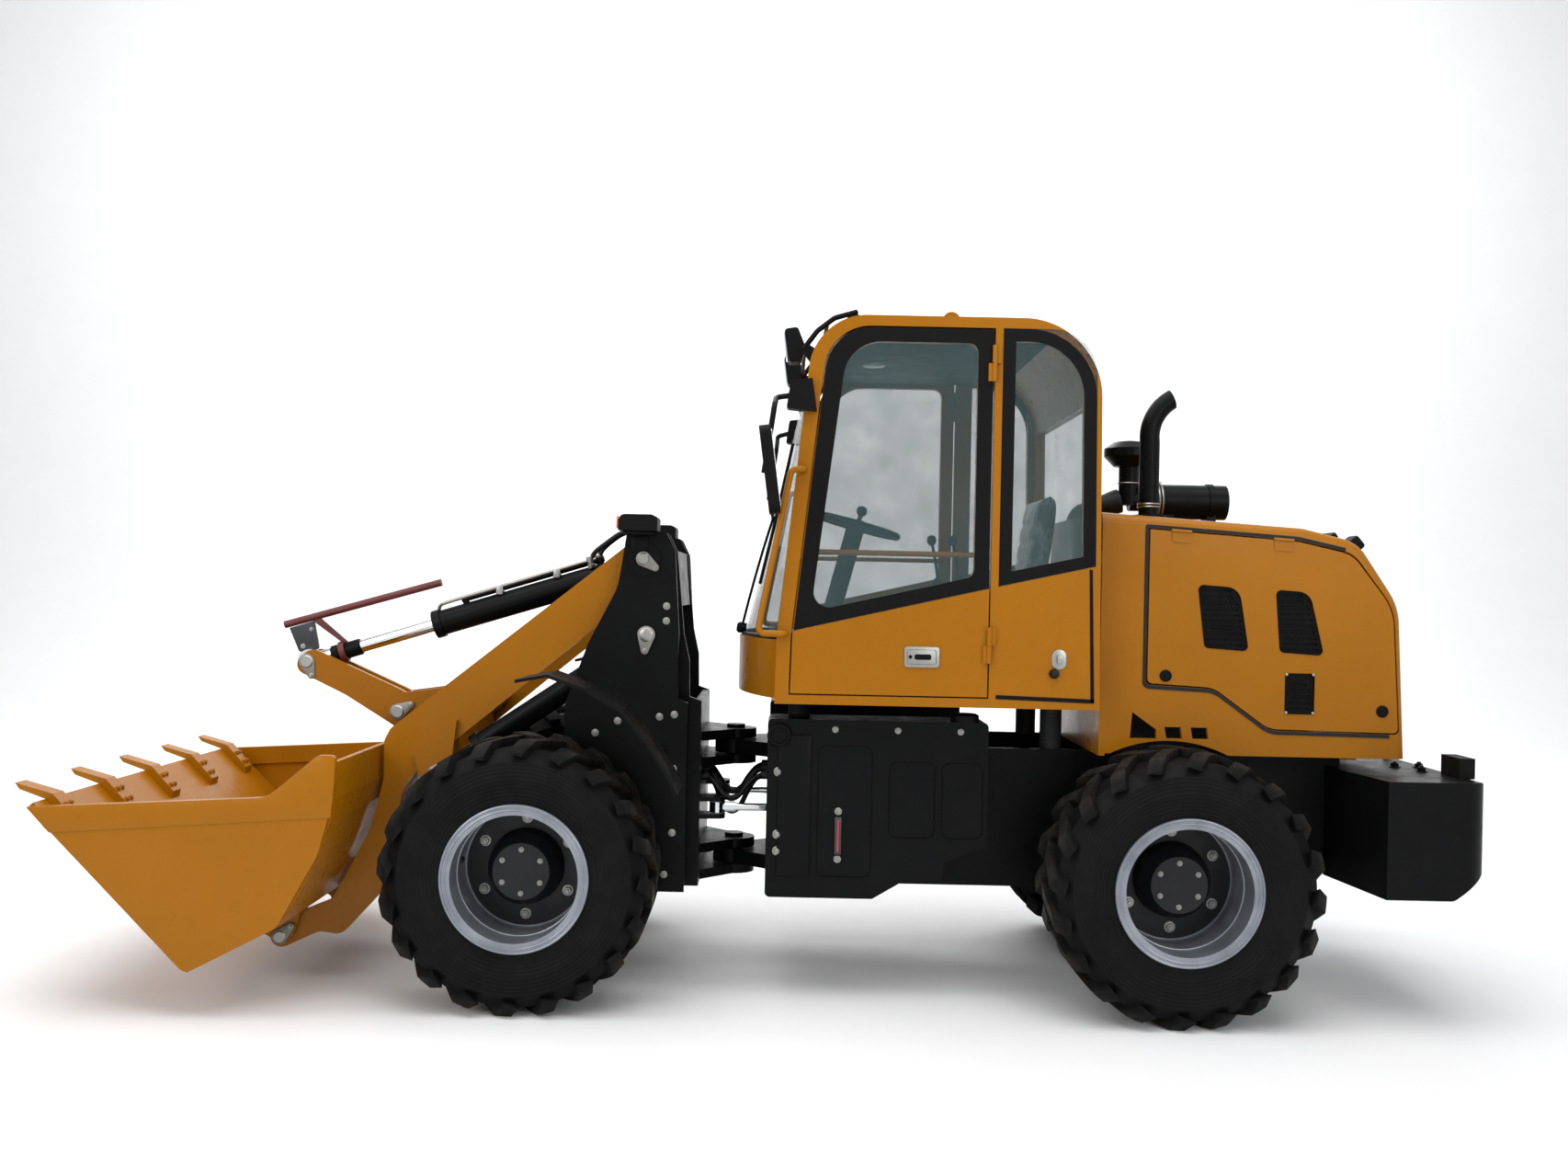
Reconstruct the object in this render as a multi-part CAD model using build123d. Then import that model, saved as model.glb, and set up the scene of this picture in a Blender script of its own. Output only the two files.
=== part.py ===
"""A compact articulated wheel loader with a Z-bar bucket linkage.

X points forward, Y to the left and Z up.  The origin lies on the ground in the
middle of the whole machine.  All lengths are millimetres.
"""
import os
from math import acos, cos, hypot, radians, sin, tan

from build123d import *

# Clearances
PIN_GAP = 0.3        # between a pin and the bore that turns on it
SIDE_GAP = 5         # between cheeks that pass one another
PANEL_GAP = 6        # round doors

# Wheels and axles
WHEELBASE = 2550
TYRE_R = 525
TYRE_WIDTH = 410
BEAD_R = 254
RIM_FLANGE_R = 283
RIM_WIDTH = 380
WHEEL_Y = 715
DISC_INSET = 285     # from the outer flange of the rim to its disc
SPINDLE_R = 70
AXLE_Z = TYRE_R
LUGS = 20                      # on each side of a tyre
LUG_DEPTH = 32

# Boom, bucket and linkage, X from the front axle
BOOM_PIN = (-423, 1750)
CRANK_PIN = (662, 1075)
TILT_EYE = (1072, 1281)
BUCKET_PIN = (1031, 179)
LIFT_PIN = (-441, 1443)
LIFT_EYE = (417, 860)
CRANK_FOOT_R, CRANK_FOOT_ANGLE = 740, 250
BUCKET_EAR_R, BUCKET_EAR_ANGLE = 260, 150
ARM_Y = 395
ARM_THICK = 36
ARM_HALF_DEPTH = 90
BUCKET_HALF = 1000
BUCKET_EDGE = (759, 597)       # cutting edge, from the bucket pin
TOOTH_REACH = (102, 73)        # tip of a tooth, from the cutting edge
TOOTH_PITCH = BUCKET_HALF * 0.425
BUCKET_SHEET = 20
BUCKET_SIDE = 20
BUCKET_PIN_R = 30
LINK_WIDTH = 64
LINK_PIN_R = 25
CRANK_OUT = 62                 # outer faces of the bellcrank's two cheeks
CROSS_TUBE = (340, 1120)
CROSS_TUBE_R = 70
TILT_R = 55
TILT_GLAND = 1000              # from the boom pin to the end of the tilt barrel
TILT_CLAMP = 1405
LIFT_R = 42
LIFT_EYE_R = 38
EYE_ROOM = 24                  # round a rod's eye, for its drift from the pin
STEER_ROD_EYE_R = 32
LAMP_WIDTH = 155

# Front frame
TOWER_OUT = 470
TOWER_PLATE = 20
HUB_WIDTH = 100
TOWER_TOP_Z = 1862
TOWER_IN = TOWER_OUT - TOWER_PLATE - HUB_WIDTH - 2 * SIDE_GAP
PIN_R = 35
STEER_PIN_R = 40
STEER_EYE_R = 90
FRONT_PAD_Z = 640
REAR_PAD_Z = 660
STEER_TONGUES = (450, 925)     # undersides of the rear frame's two tongues
TONGUE_PLATE = 60
FORK_PLATE = 40

# Rear frame, cab and hood, X from the rear axle
STEER_X = 1752
FRAME_HALF = 361
FRAME_PLATE = 25
REAR_REACH = 1166
WEIGHT_HALF = 850
TANK_HALF = 590
TOW_SLOT = (640, 760)
TOW_INSET = 56
TOW_BORE_R = 20
CAB_HALF = 680
CAB_WALL = 40
CAB_FLOOR_Z = 1190
GLASS = 6
HOOD_HALF = 560
HOOD_WALL = 25
HOOD_TOP_Z = 1976
HOOD_FALL = 49                 # drop of the hood's top towards the back
HOOD_Z = 1010
HOOD_EDGE = 40
ENGINE_Z = 800
CAB_TOP_Z = 2722
POST_WIDTH = 55                # front post seen from the side
RAIL = 42                      # roof rail above the door
SILL = 36
FRAME_BORDER = 70              # steel frame behind the door glass
ROOF_SHEET = 40
COWL_Z0 = 1208
BOW_LOW, BOW_HIGH = 160, 30    # how far the screen bows ahead of the posts, below and above
REAR_PANE = (1765, CAB_TOP_Z - 322)
REAR_PANE_HALF = CAB_HALF - 120
SCREEN_Z0, SCREEN_Z1 = 1440, CAB_TOP_Z - 272
DOOR_X = 744                   # front edge of the fixed side panel
DOOR_HINGE = (747, CAB_HALF + 12)
DOOR_HINGES = (1365, CAB_TOP_Z - 252)
HINGE_LONG = 70
HINGE_R = 10
LIFT_BORE_R = 18

# The origin is the middle of the whole length
FRONT_REACH = BUCKET_PIN[0] + BUCKET_EDGE[0] + TOOTH_REACH[0]
FRONT_AXLE_X = (WHEELBASE + REAR_REACH - FRONT_REACH) / 2
REAR_AXLE_X = FRONT_AXLE_X - WHEELBASE
STEER_PIN_X = REAR_AXLE_X + STEER_X
STEER_BASE = (STEER_PIN_X - 645, 230)    # steering cylinder's eyes in the plan view
STEER_EYE = (STEER_PIN_X + 65, 270)
STEER_CYL_Z = 720
STEER_EYE_HALF = 36


def front(point):
    """Take a point measured from the front axle into the machine's frame."""
    return (FRONT_AXLE_X + point[0],) + tuple(point[1:])


def rear(point):
    """Take a point measured from the rear axle into the machine's frame."""
    return (REAR_AXLE_X + point[0],) + tuple(point[1:])


def polar(centre, radius, angle):
    return (centre[0] + radius * cos(radians(angle)), centre[1] + radius * sin(radians(angle)))


def outline(corners):
    """A closed face; a corner given as (x, z, r) is rounded with radius r."""
    edges = []
    last = None
    first = None
    count = len(corners)
    for i in range(count):
        a, b, c = corners[i - 1], corners[i], corners[(i + 1) % count]
        u = Vector(b[0] - a[0], b[1] - a[1]).normalized()
        v = Vector(c[0] - b[0], c[1] - b[1]).normalized()
        here = Vector(b[0], b[1])
        turn = acos(max(-1, min(1, u.dot(v))))
        radius = b[2] if len(b) > 2 else 0
        if radius and turn > 0.01:
            room = min(hypot(b[0] - a[0], b[1] - a[1]), hypot(c[0] - b[0], c[1] - b[1]))
            back = min(radius * tan(turn / 2), room * 0.48)
            radius = back / tan(turn / 2)
            start = here - u * back
            end = here + v * back
            middle = here + (v - u).normalized() * (radius / cos(turn / 2) - radius)
            bend = ThreePointArc(start, middle, end)
        else:
            start = end = here
            bend = None
        if last is not None:
            edges.append(Line(last, start))
        else:
            first = start
        if bend is not None:
            edges.append(bend)
        last = end
    edges.append(Line(last, first))
    return make_face(edges)


def plate(corners, y0, y1):
    """A flat piece with its outline in the side view, from y0 to y1 across the machine."""
    return extrude(Plane.XZ.offset(-y1) * outline(corners), amount=y1 - y0)


def slab(corners, z0, z1):
    """A flat piece with its outline in the plan view, from z0 up to z1."""
    return extrude(Plane.XY.offset(z0) * outline(corners), amount=z1 - z0)


def strip(points, thick):
    """The corners of a bent sheet whose one face follows the points."""
    inner = []
    for i, p in enumerate(points):
        a = points[max(i - 1, 0)]
        b = points[min(i + 1, len(points) - 1)]
        u = Vector(p[0] - a[0], p[1] - a[1]) if i else Vector(b[0] - p[0], b[1] - p[1])
        v = Vector(b[0] - p[0], b[1] - p[1]) if i < len(points) - 1 else u
        u, v = u.normalized(), v.normalized()
        middle = (u + v).normalized()
        side = thick / max(0.3, middle.dot(u))
        inner.append((p[0] + middle.Y * side, p[1] - middle.X * side))
    return list(points) + inner[::-1]


def box(x0, x1, y0, y1, z0, z1):
    return Pos((x0 + x1) / 2, (y0 + y1) / 2, (z0 + z1) / 2) * Box(x1 - x0, y1 - y0, z1 - z0)


def rod(start, end, radius):
    """A round bar between two points."""
    axis = Vector(*end) - Vector(*start)
    return extrude(Plane(origin=start, z_dir=axis) * Circle(radius), amount=axis.length)


def pipe(points, radius, bend):
    """A round bar bent along a line of points."""
    path = FilletPolyline(*points, radius=bend)
    return sweep(Plane(origin=path @ 0, z_dir=path % 0) * Circle(radius), path=path)


def pin(point, radius, y0, y1):
    """A round bar along Y at a point of the side view."""
    return rod((point[0], y0, point[1]), (point[0], y1, point[1]), radius)


def both(shape):
    """A piece and its mirror image on the other side of the machine."""
    return shape + mirror(shape, about=Plane.XZ)


def save(name, *shapes):
    whole = shapes[0]
    for shape in shapes[1:]:
        whole = whole + shape
    export_step(whole, f"parts/{name}.step")


def turned(profile):
    """A ring turned about the Y axis from (radius, y) corners."""
    face = Plane.XY * outline([(r, y) for r, y, *_ in profile])
    return revolve(face, axis=Axis.Y)


def tyre():
    """A loader tyre: round carcass with slanted lugs, alternately from either shoulder."""
    half, bead = TYRE_WIDTH / 2, RIM_WIDTH / 2 - 15
    floor = TYRE_R - LUG_DEPTH
    profile = [(BEAD_R, -bead), (RIM_FLANGE_R + 20, -bead - 5), (RIM_FLANGE_R + 90, -half + 8),
               (floor - 50, -half + 14), (floor, -half + 60), (floor, half - 60), (floor - 50, half - 14),
               (RIM_FLANGE_R + 90, half - 8), (RIM_FLANGE_R + 20, bead + 5), (BEAD_R, bead)]
    shape = turned(profile)
    lugs = []
    for i in range(LUGS):
        for way in (1, -1):
            turn = 360 / LUGS * (i + (0.5 if way < 0 else 0))
            lugs.append(Rot(0, turn, 0) * lug(way))
    return shape.fuse(*lugs)


def lug(way):
    """One lug: it starts near the middle of the tread and runs back over a shoulder."""
    half = TYRE_WIDTH / 2
    near, far = -12, half
    lag = 120
    foot = [(near * way, 0), (near * way, 62), (far * way, 62 + lag), (far * way, lag)]
    base = TYRE_R - LUG_DEPTH - 45
    block = extrude(Plane(origin=(0, 0, base), x_dir=(0, 1, 0), z_dir=(0, 0, 1)) * outline(
        [(y, -x) for y, x in foot]), amount=LUG_DEPTH + 120)
    shell = turned([(base, -half), (TYRE_R - 45, -half), (TYRE_R, -half + 45), (TYRE_R, half - 45),
                    (TYRE_R - 45, half), (base, half)])
    return block & shell


def rim():
    half, bead = RIM_WIDTH / 2, RIM_WIDTH / 2 - 15
    disc = half - DISC_INSET
    barrel = turned([(BEAD_R - 12, -half), (RIM_FLANGE_R, -half), (RIM_FLANGE_R, -bead - 5),
                     (BEAD_R, -bead), (BEAD_R, bead), (RIM_FLANGE_R, bead + 5), (RIM_FLANGE_R, half),
                     (BEAD_R - 12, half)])
    dish = turned([(SPINDLE_R + PIN_GAP, disc - 18), (BEAD_R - 12, disc - 18), (BEAD_R - 12, disc),
                   (150, disc), (140, disc + 70), (110, disc + 130), (0, disc + 130),
                   (0, disc + 90 + SIDE_GAP), (SPINDLE_R + PIN_GAP, disc + 90 + SIDE_GAP)])
    return barrel + dish


def wheel_places():
    for end, x in (("front", FRONT_AXLE_X), ("rear", REAR_AXLE_X)):
        for side, way in (("left", 1), ("right", -1)):
            yield f"{end}_{side}", x, way


def wheels():
    for place, x, way in wheel_places():
        spot = Pos(x, way * WHEEL_Y, AXLE_Z) * Rot(0, 0, 0 if way > 0 else 180)
        save(f"tyre_{place}", spot * tyre())
        save(f"rim_{place}", spot * rim())


def axle(x, pad_in, pad_out, pad_top):
    """A rigid axle: gear case, tapered arms, pads for the frame and spindles for the wheels."""
    disc = WHEEL_Y + RIM_WIDTH / 2 - DISC_INSET
    hub_in = disc - 18 - SIDE_GAP
    case = turned([(0, -150), (120, -150), (185, -70), (185, 70), (120, 150), (0, 150)])
    arm = turned([(0, 100), (115, 100), (85, 300), (85, hub_in - 60), (150, hub_in - 60),
                  (150, hub_in), (SPINDLE_R, hub_in), (SPINDLE_R, disc + 90), (0, disc + 90)])
    pad = box(-110, 110, pad_in, pad_out, 0, pad_top - AXLE_Z)
    return Pos(x, 0, AXLE_Z) * (case + both(arm) + both(pad))


def tower_outline(low_back, back):
    """Side view of a boom tower plate, with its back edge below and above the step."""
    return [front(p) for p in [
        (low_back, 399), (low_back, 1168), (back, 1185), (back + 4, 1336), (max(back, -584), 1448),
        (-551, 1785, 40),
        (-513, TOWER_TOP_Z, 20), (-353, TOWER_TOP_Z, 20), (-331, 1705), (-318, 1630, 200), (-203, 1402, 300),
        (-113, 1150, 60), (-113, 640, 40), (-393, 640, 60), (-468, 399)]]


def front_frame():
    inner0 = TOWER_IN - TOWER_PLATE
    outer = plate(tower_outline(-613, -573), TOWER_OUT - TOWER_PLATE, TOWER_OUT)
    inner = plate(tower_outline(-663, -613), inner0, TOWER_IN)
    boss = pin(front(BOOM_PIN), 70, TOWER_OUT, TOWER_OUT + 8)
    boom_pin = pin(front(BOOM_PIN), PIN_R, inner0, TOWER_OUT + 12)
    lift_pin = pin(front(LIFT_PIN), PIN_R - 5, inner0, TOWER_OUT + 12)
    web = box(front((-613, 0))[0], front((-560, 0))[0], TOWER_IN, TOWER_OUT - TOWER_PLATE, 640, 1168)
    half = outer + inner + boss + boom_pin + lift_pin + web
    bulkhead = box(front((-663, 0))[0], front((-633, 0))[0], -inner0, inner0, 399, 1168)
    beam = plate([front(p) for p in [(-565, 1560), (-500, 1560), (-500, 1790), (-545, 1790)]],
                 -inner0, inner0)
    saddle = plate([front(p) for p in [(-633, FRONT_PAD_Z), (-633, 720), (-113, 720), (230, 720, 30),
                                       (230, FRONT_PAD_Z)]], -inner0, inner0)
    saddle -= pin(front((0, AXLE_Z)), 195, -160, 160)
    lug = plate([front(p) for p in [(-500, 1640), (-500, 1790), (-423, 1815, 60), (-358, 1750, 60),
                                    (-423, 1680, 60)]], 40, 65)
    tilt_pin = pin(front(BOOM_PIN), PIN_R, -72, 72)
    shape = both(half) + bulkhead + beam + saddle + both(lug) + tilt_pin + steer_forks()
    back = front((-663, 0))[0]
    for z0 in (STEER_CYL_Z - 22 - SIDE_GAP - 18, STEER_CYL_Z + 22 + SIDE_GAP):
        ear = slab([(back, 215), (STEER_EYE[0] - 34, 225, 30), (STEER_EYE[0] - 34, 310, 30), (back, 320)],
                   z0, z0 + 18)
        shape += both(ear)
    return shape


def steer_forks():
    """The front half of the steering joint: two pairs of plates and their upright pins."""
    back = front((-663, 0))[0]
    shape = None
    for low in (STEER_TONGUES[0], STEER_TONGUES[1]):
        for z0 in (low - SIDE_GAP - FORK_PLATE, low + TONGUE_PLATE + SIDE_GAP):
            leaf = slab([(back, 230), (STEER_PIN_X, STEER_EYE_R), (STEER_PIN_X, -STEER_EYE_R),
                         (back, -230)], z0, z0 + FORK_PLATE)
            leaf += Pos(STEER_PIN_X, 0, z0 + FORK_PLATE / 2) * Cylinder(STEER_EYE_R, FORK_PLATE)
            shape = leaf if shape is None else shape + leaf
        top = low + TONGUE_PLATE + SIDE_GAP + FORK_PLATE
        shape += rod((STEER_PIN_X, 0, low - SIDE_GAP - FORK_PLATE), (STEER_PIN_X, 0, top + 15), STEER_PIN_R)
    return shape


def rear_frame():
    x0, x1 = rear((-761, 0))[0], rear((1607, 0))[0]
    side = plate([rear(p) for p in [(1607, 430), (1607, 1000), (-761, 1000), (-761, 560), (-330, 560, 40),
                                    (-230, REAR_PAD_Z, 40), (230, REAR_PAD_Z, 40), (330, 430, 40)]],
                 FRAME_HALF - FRAME_PLATE, FRAME_HALF)
    inner = FRAME_HALF - FRAME_PLATE
    front_wall = box(x1 - 30, x1, -inner, inner, 430, 1000)
    back_wall = box(x0, x0 + 30, -inner, inner, 560, 1000)
    mid_wall = box(rear((450, 0))[0], rear((480, 0))[0], -inner, inner, 460, 800)
    front_wall -= both(box(x1 - 40, x1 + 10, 150, inner, STEER_CYL_Z - 80, STEER_CYL_Z + 80))
    shape = both(side) + front_wall + back_wall + mid_wall
    for x in (-600, 80):
        shape += box(rear((x, 0))[0], rear((x + 60, 0))[0], -inner, inner, ENGINE_Z - 50, ENGINE_Z)
    for z0 in (STEER_CYL_Z - STEER_EYE_HALF - SIDE_GAP - 20, STEER_CYL_Z + STEER_EYE_HALF + SIDE_GAP):
        ear = slab([(STEER_BASE[0] - 70, inner), (STEER_BASE[0] - 45, STEER_BASE[1] - 50, 40),
                    (STEER_BASE[0] + 45, STEER_BASE[1] - 50, 40), (STEER_BASE[0] + 70, inner)], z0, z0 + 20)
        shape += both(ear)
    shape += both(rod((*STEER_BASE, STEER_CYL_Z - 68), (*STEER_BASE, STEER_CYL_Z + 68), 20))
    for z0 in STEER_TONGUES:
        leaf = slab([(x1 - 30, 230), (x1 - 30, -230), (STEER_PIN_X, -STEER_EYE_R),
                     (STEER_PIN_X, STEER_EYE_R)], z0, z0 + TONGUE_PLATE)
        leaf += Pos(STEER_PIN_X, 0, z0 + TONGUE_PLATE / 2) * Cylinder(STEER_EYE_R, TONGUE_PLATE)
        leaf -= rod((STEER_PIN_X, 0, z0 - 1), (STEER_PIN_X, 0, z0 + TONGUE_PLATE + 1),
                    STEER_PIN_R + PIN_GAP)
        shape += leaf
    return shape


def arm_outline():
    """Side view of one lift arm: straight from the tower, then down behind the bucket to its pin."""
    back = front(BOOM_PIN)
    eye = front(BUCKET_PIN)
    slope = -39.5
    up, down = slope + 90, slope - 90
    return [polar(polar(back, 95, slope + 180), 50, up) + (50,),
            polar(polar(back, 35, slope + 180), ARM_HALF_DEPTH, up) + (50,),
            front((607, 1036, 60)), front((633, 985, 40)), front((631, 825, 200)), front((684, 612, 300)),
            front((832, 330, 60)), (eye[0] + 20, eye[1] + 58, 58), (eye[0] + 62, eye[1] - 20, 50),
            (eye[0] + 10, eye[1] - 58, 58), front((883, 197, 60)), front((792, 184, 60)),
            front((615, 381, 100)), front((548, 817, 200)),
            polar(polar(back, 35, slope + 180), ARM_HALF_DEPTH, down) + (50,),
            polar(polar(back, 95, slope + 180), 50, down) + (50,)]


def boom():
    y0, y1 = ARM_Y - ARM_THICK / 2, ARM_Y + ARM_THICK / 2
    arm = plate(arm_outline(), y0, y1)
    arm += pin(front(BOOM_PIN), 85, ARM_Y - HUB_WIDTH / 2, ARM_Y + HUB_WIDTH / 2)
    arm -= pin(front(BOOM_PIN), PIN_R + PIN_GAP, 0, TOWER_OUT)
    arm -= pin(front(BUCKET_PIN), BUCKET_PIN_R + PIN_GAP, 0, TOWER_OUT)
    arm -= pin(front(LIFT_EYE), LIFT_EYE_R + EYE_ROOM, 0, TOWER_OUT)
    ear = plate([front(p) for p in [(330, 1075), (500, 935), (LIFT_EYE[0] + 58, LIFT_EYE[1] - 30, 50),
                                    (LIFT_EYE[0], LIFT_EYE[1] - 62, 50),
                                    (LIFT_EYE[0] - 62, LIFT_EYE[1] - 10, 50)]], y1 + 14, y1 + 32)
    ear += plate([front(p) for p in [(330, 1075), (500, 935), (455, 925), (345, 1015)]], y1, y1 + 14)
    ear_in = mirror(ear, about=Plane.XZ.offset(-ARM_Y))
    tube = pin(front(CROSS_TUBE), CROSS_TUBE_R, -y0, y0)
    tube_x, tube_z = CROSS_TUBE
    bracket = plate([front(p) for p in [(tube_x - 60, tube_z), (tube_x - 20, tube_z + 85, 60),
                                        (CRANK_PIN[0] + 10, CRANK_PIN[1] + 78, 65),
                                        (CRANK_PIN[0] + 72, CRANK_PIN[1] - 10, 60),
                                        (CRANK_PIN[0] - 20, CRANK_PIN[1] - 68, 60),
                                        (tube_x, tube_z - 65)]],
                    CRANK_OUT + SIDE_GAP, CRANK_OUT + SIDE_GAP + 25)
    crank_pin = pin(front(CRANK_PIN), PIN_R - 5, -CRANK_OUT - SIDE_GAP - 35, CRANK_OUT + SIDE_GAP + 35)
    return both(arm + ear + ear_in) + tube + both(bracket) + crank_pin


def bucket_place(point):
    """A point measured from the bucket pin, in the machine's frame."""
    pivot = front(BUCKET_PIN)
    return (pivot[0] + point[0], pivot[1] + point[1]) + tuple(point[2:])


def bucket():
    back = [BUCKET_EDGE, (162, -9), (60, 45), (-174, 168), (-262, 310), (-322, 443), (-360, 560),
            (-375, 648), (-379, 784)]
    side_edge = BUCKET_HALF - BUCKET_SIDE
    shell = plate([bucket_place(p) for p in strip(back, BUCKET_SHEET)], -side_edge, side_edge)
    cheek = [BUCKET_EDGE, (162, -9, 40), (-174, 168, 80), (-322, 443, 200), (-375, 648, 100), (-382, 812, 20),
             (-314, 810, 40), (-264, 765, 40), (-130, 650, 120)]
    side = plate([bucket_place(p) for p in cheek], side_edge, BUCKET_HALF)
    rim_bar = plate([bucket_place(p) for p in [(-130, 650), BUCKET_EDGE, (700, 515), (-110, 565)]],
                    side_edge - 12, side_edge)
    shape = shell + both(side) + both(rim_bar)
    lug = [(0, -48, 45), (48, 0, 45), (110, 28), (-90, 133), (-48, 0, 45)]
    for y in (ARM_Y - ARM_THICK / 2 - SIDE_GAP - 25, ARM_Y + ARM_THICK / 2 + SIDE_GAP):
        shape += both(plate([bucket_place(p) for p in lug], y, y + 25))
    hinge = pin(front(BUCKET_PIN), BUCKET_PIN_R, ARM_Y - ARM_THICK / 2 - SIDE_GAP - 32,
                ARM_Y + ARM_THICK / 2 + SIDE_GAP + 32)
    ear = bucket_ear()
    wing = [(ear[0] - 45, ear[1] + 20, 40), (ear[0], ear[1] - 50, 40), (-100, 125), (-174, 168), (-215, 236)]
    horn = plate([bucket_place(p) for p in wing], LINK_WIDTH / 2 + SIDE_GAP, LINK_WIDTH / 2 + SIDE_GAP + 22)
    reach = LINK_WIDTH / 2 + SIDE_GAP + 30
    ear_pin = pin(bucket_place(ear), LINK_PIN_R, -reach, reach)
    return shape + both(hinge) + both(horn) + ear_pin


def bucket_ear():
    """The link's pin on the bucket, measured from the bucket pin."""
    return polar((0, 0), BUCKET_EAR_R, BUCKET_EAR_ANGLE)


def bucket_teeth():
    edge = Vector(*BUCKET_EDGE)
    along = (edge - Vector(162, -9)).normalized()
    inward = Vector(-along.Y, along.X)
    tip = edge + Vector(*TOOTH_REACH)
    seat = edge + inward * BUCKET_SHEET
    corners = [seat - along * 170, seat - along * 150 + inward * 28, seat - along * 5 + inward * 34, tip,
               tip - Vector(18, 24), seat]
    shape = None
    for i in range(-2, 3):
        y = i * TOOTH_PITCH
        tooth = plate([bucket_place((c.X, c.Y)) for c in corners], y - 40, y + 40)
        shape = tooth if shape is None else shape + tooth
    return shape


def crank_foot():
    return polar(CRANK_PIN, CRANK_FOOT_R, CRANK_FOOT_ANGLE)


def bellcrank():
    """Two curved cheeks on one tube; the tilt rod pushes the top, the bucket link hangs at the foot."""
    foot = crank_foot()
    cheek = [(TILT_EYE[0] - 15, TILT_EYE[1] + 62, 55), (620, 1150, 200), (510, 1000, 300),
             (420, 700, 300), (foot[0] - 62, foot[1] + 10, 55), (foot[0] + 5, foot[1] - 60, 55),
             (foot[0] + 62, foot[1] + 20, 55), (515, 700, 300), (590, 950, 120), (720, 1030, 100),
             (900, 1140, 200), (TILT_EYE[0] + 72, TILT_EYE[1] - 25, 55)]
    side = plate([front(p) for p in cheek], LINK_WIDTH / 2 + SIDE_GAP, CRANK_OUT)
    tube = pin(front(CRANK_PIN), 60, -CRANK_OUT, CRANK_OUT)
    for spot in (foot, TILT_EYE):
        side += pin(front(spot), LINK_PIN_R + 8, CRANK_OUT, CRANK_OUT + 5)
    return both(side) + tube - pin(front(CRANK_PIN), PIN_R - 5 + PIN_GAP, -200, 200)


def bucket_link():
    foot = front(crank_foot())
    ear = bucket_place(bucket_ear())
    half = LINK_WIDTH / 2
    bar = plate([(foot[0], foot[1] + 32), (ear[0], ear[1] + 30),
                 (ear[0], ear[1] - 30), (foot[0], foot[1] - 32)], -half, half)
    shape = bar + pin(foot, 48, -half, half) + pin(ear, 40, -half, half)
    return shape - pin(ear, LINK_PIN_R + PIN_GAP, -half - 1, half + 1)


def along(a, b, distance):
    """The point at a distance from a on the way to b, in the side view."""
    length = hypot(b[0] - a[0], b[1] - a[1])
    return (a[0] + (b[0] - a[0]) * distance / length, a[1] + (b[1] - a[1]) * distance / length)


def span(a, b, s0, s1, radius, y=0):
    """A round bar lying on the line from a to b, between two distances from a."""
    p, q = along(a, b, s0), along(a, b, s1)
    return rod((p[0], y, p[1]), (q[0], y, q[1]), radius)


def barrel(base, eye, y, radius, bore, gland, eye_half, pin_r):
    """A cylinder barrel: base eye, closed end, tube and gland collar."""
    start = radius + 20
    tube = span(base, eye, start, gland, radius, y) + span(base, eye, gland - 35, gland, radius + 7, y)
    tube -= span(base, eye, start + 20, gland + 1, bore, y)
    tube += span(base, eye, radius * 0.5, start, min(radius, eye_half - 2), y)
    shape = tube + pin(base, radius + 8, y - eye_half, y + eye_half)
    return shape - pin(base, pin_r + PIN_GAP, y - eye_half - 1, y + eye_half + 1)


def piston_rod(base, eye, y, radius, bore, piston, eye_half, eye_r):
    """The rod with its piston inside the barrel and the solid eye at its outer end."""
    length = hypot(eye[0] - base[0], eye[1] - base[1])
    shape = span(base, eye, piston, length - eye_r * 0.5, radius, y)
    shape += span(base, eye, piston, piston + 40, bore - PIN_GAP, y)
    collar = max(radius, min(radius + 9, eye_half))
    shape += span(base, eye, length - eye_r - 45, length - eye_r * 0.5, collar, y)
    return shape + pin(eye, eye_r, y - eye_half, y + eye_half)


def tilt_cylinder():
    base, eye = front(BOOM_PIN), front(TILT_EYE)
    body = barrel(base, eye, 0, TILT_R, TILT_R - 13, TILT_GLAND, 40 - SIDE_GAP, PIN_R)
    body += span((base[0], base[1] + TILT_R + 22), (eye[0], eye[1] + TILT_R + 22), 230, 880, 14)
    for s in (245, 860):
        foot = along(base, eye, s)
        body += rod((foot[0], 0, foot[1] + TILT_R - 10), (foot[0], 0, foot[1] + TILT_R + 24), 14)
    save("tilt_barrel", body)
    save("tilt_rod", piston_rod(base, eye, 0, 28, TILT_R - 13, 560, LINK_WIDTH / 2, 52))
    clamp = along(base, eye, TILT_CLAMP)
    collar = span(base, eye, TILT_CLAMP, TILT_CLAMP + 25, 46) - span(base, eye, 0, 1500, 28)
    tip = front((1192, 1437))
    tail = front((509, 1637))
    arm = plate([(clamp[0] - 8, clamp[1] + 36), along(tail, tip, 560), along(tail, tip, 600),
                 (clamp[0] + 22, clamp[1] + 36)], -6, 6)
    flag = span(tail, tip, 0, hypot(tip[0] - tail[0], tip[1] - tail[1]), 16)
    save("level_indicator", collar + arm + flag)


def lift_cylinders():
    base, eye = front(LIFT_PIN), front(LIFT_EYE)
    for side, way in (("left", 1), ("right", -1)):
        y = way * ARM_Y
        save(f"lift_barrel_{side}", barrel(base, eye, y, LIFT_R, LIFT_R - 9, 850, HUB_WIDTH / 2, PIN_R - 5))
        save(f"lift_rod_{side}", piston_rod(base, eye, y, 24, LIFT_R - 9, 110, 15, LIFT_EYE_R))


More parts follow.
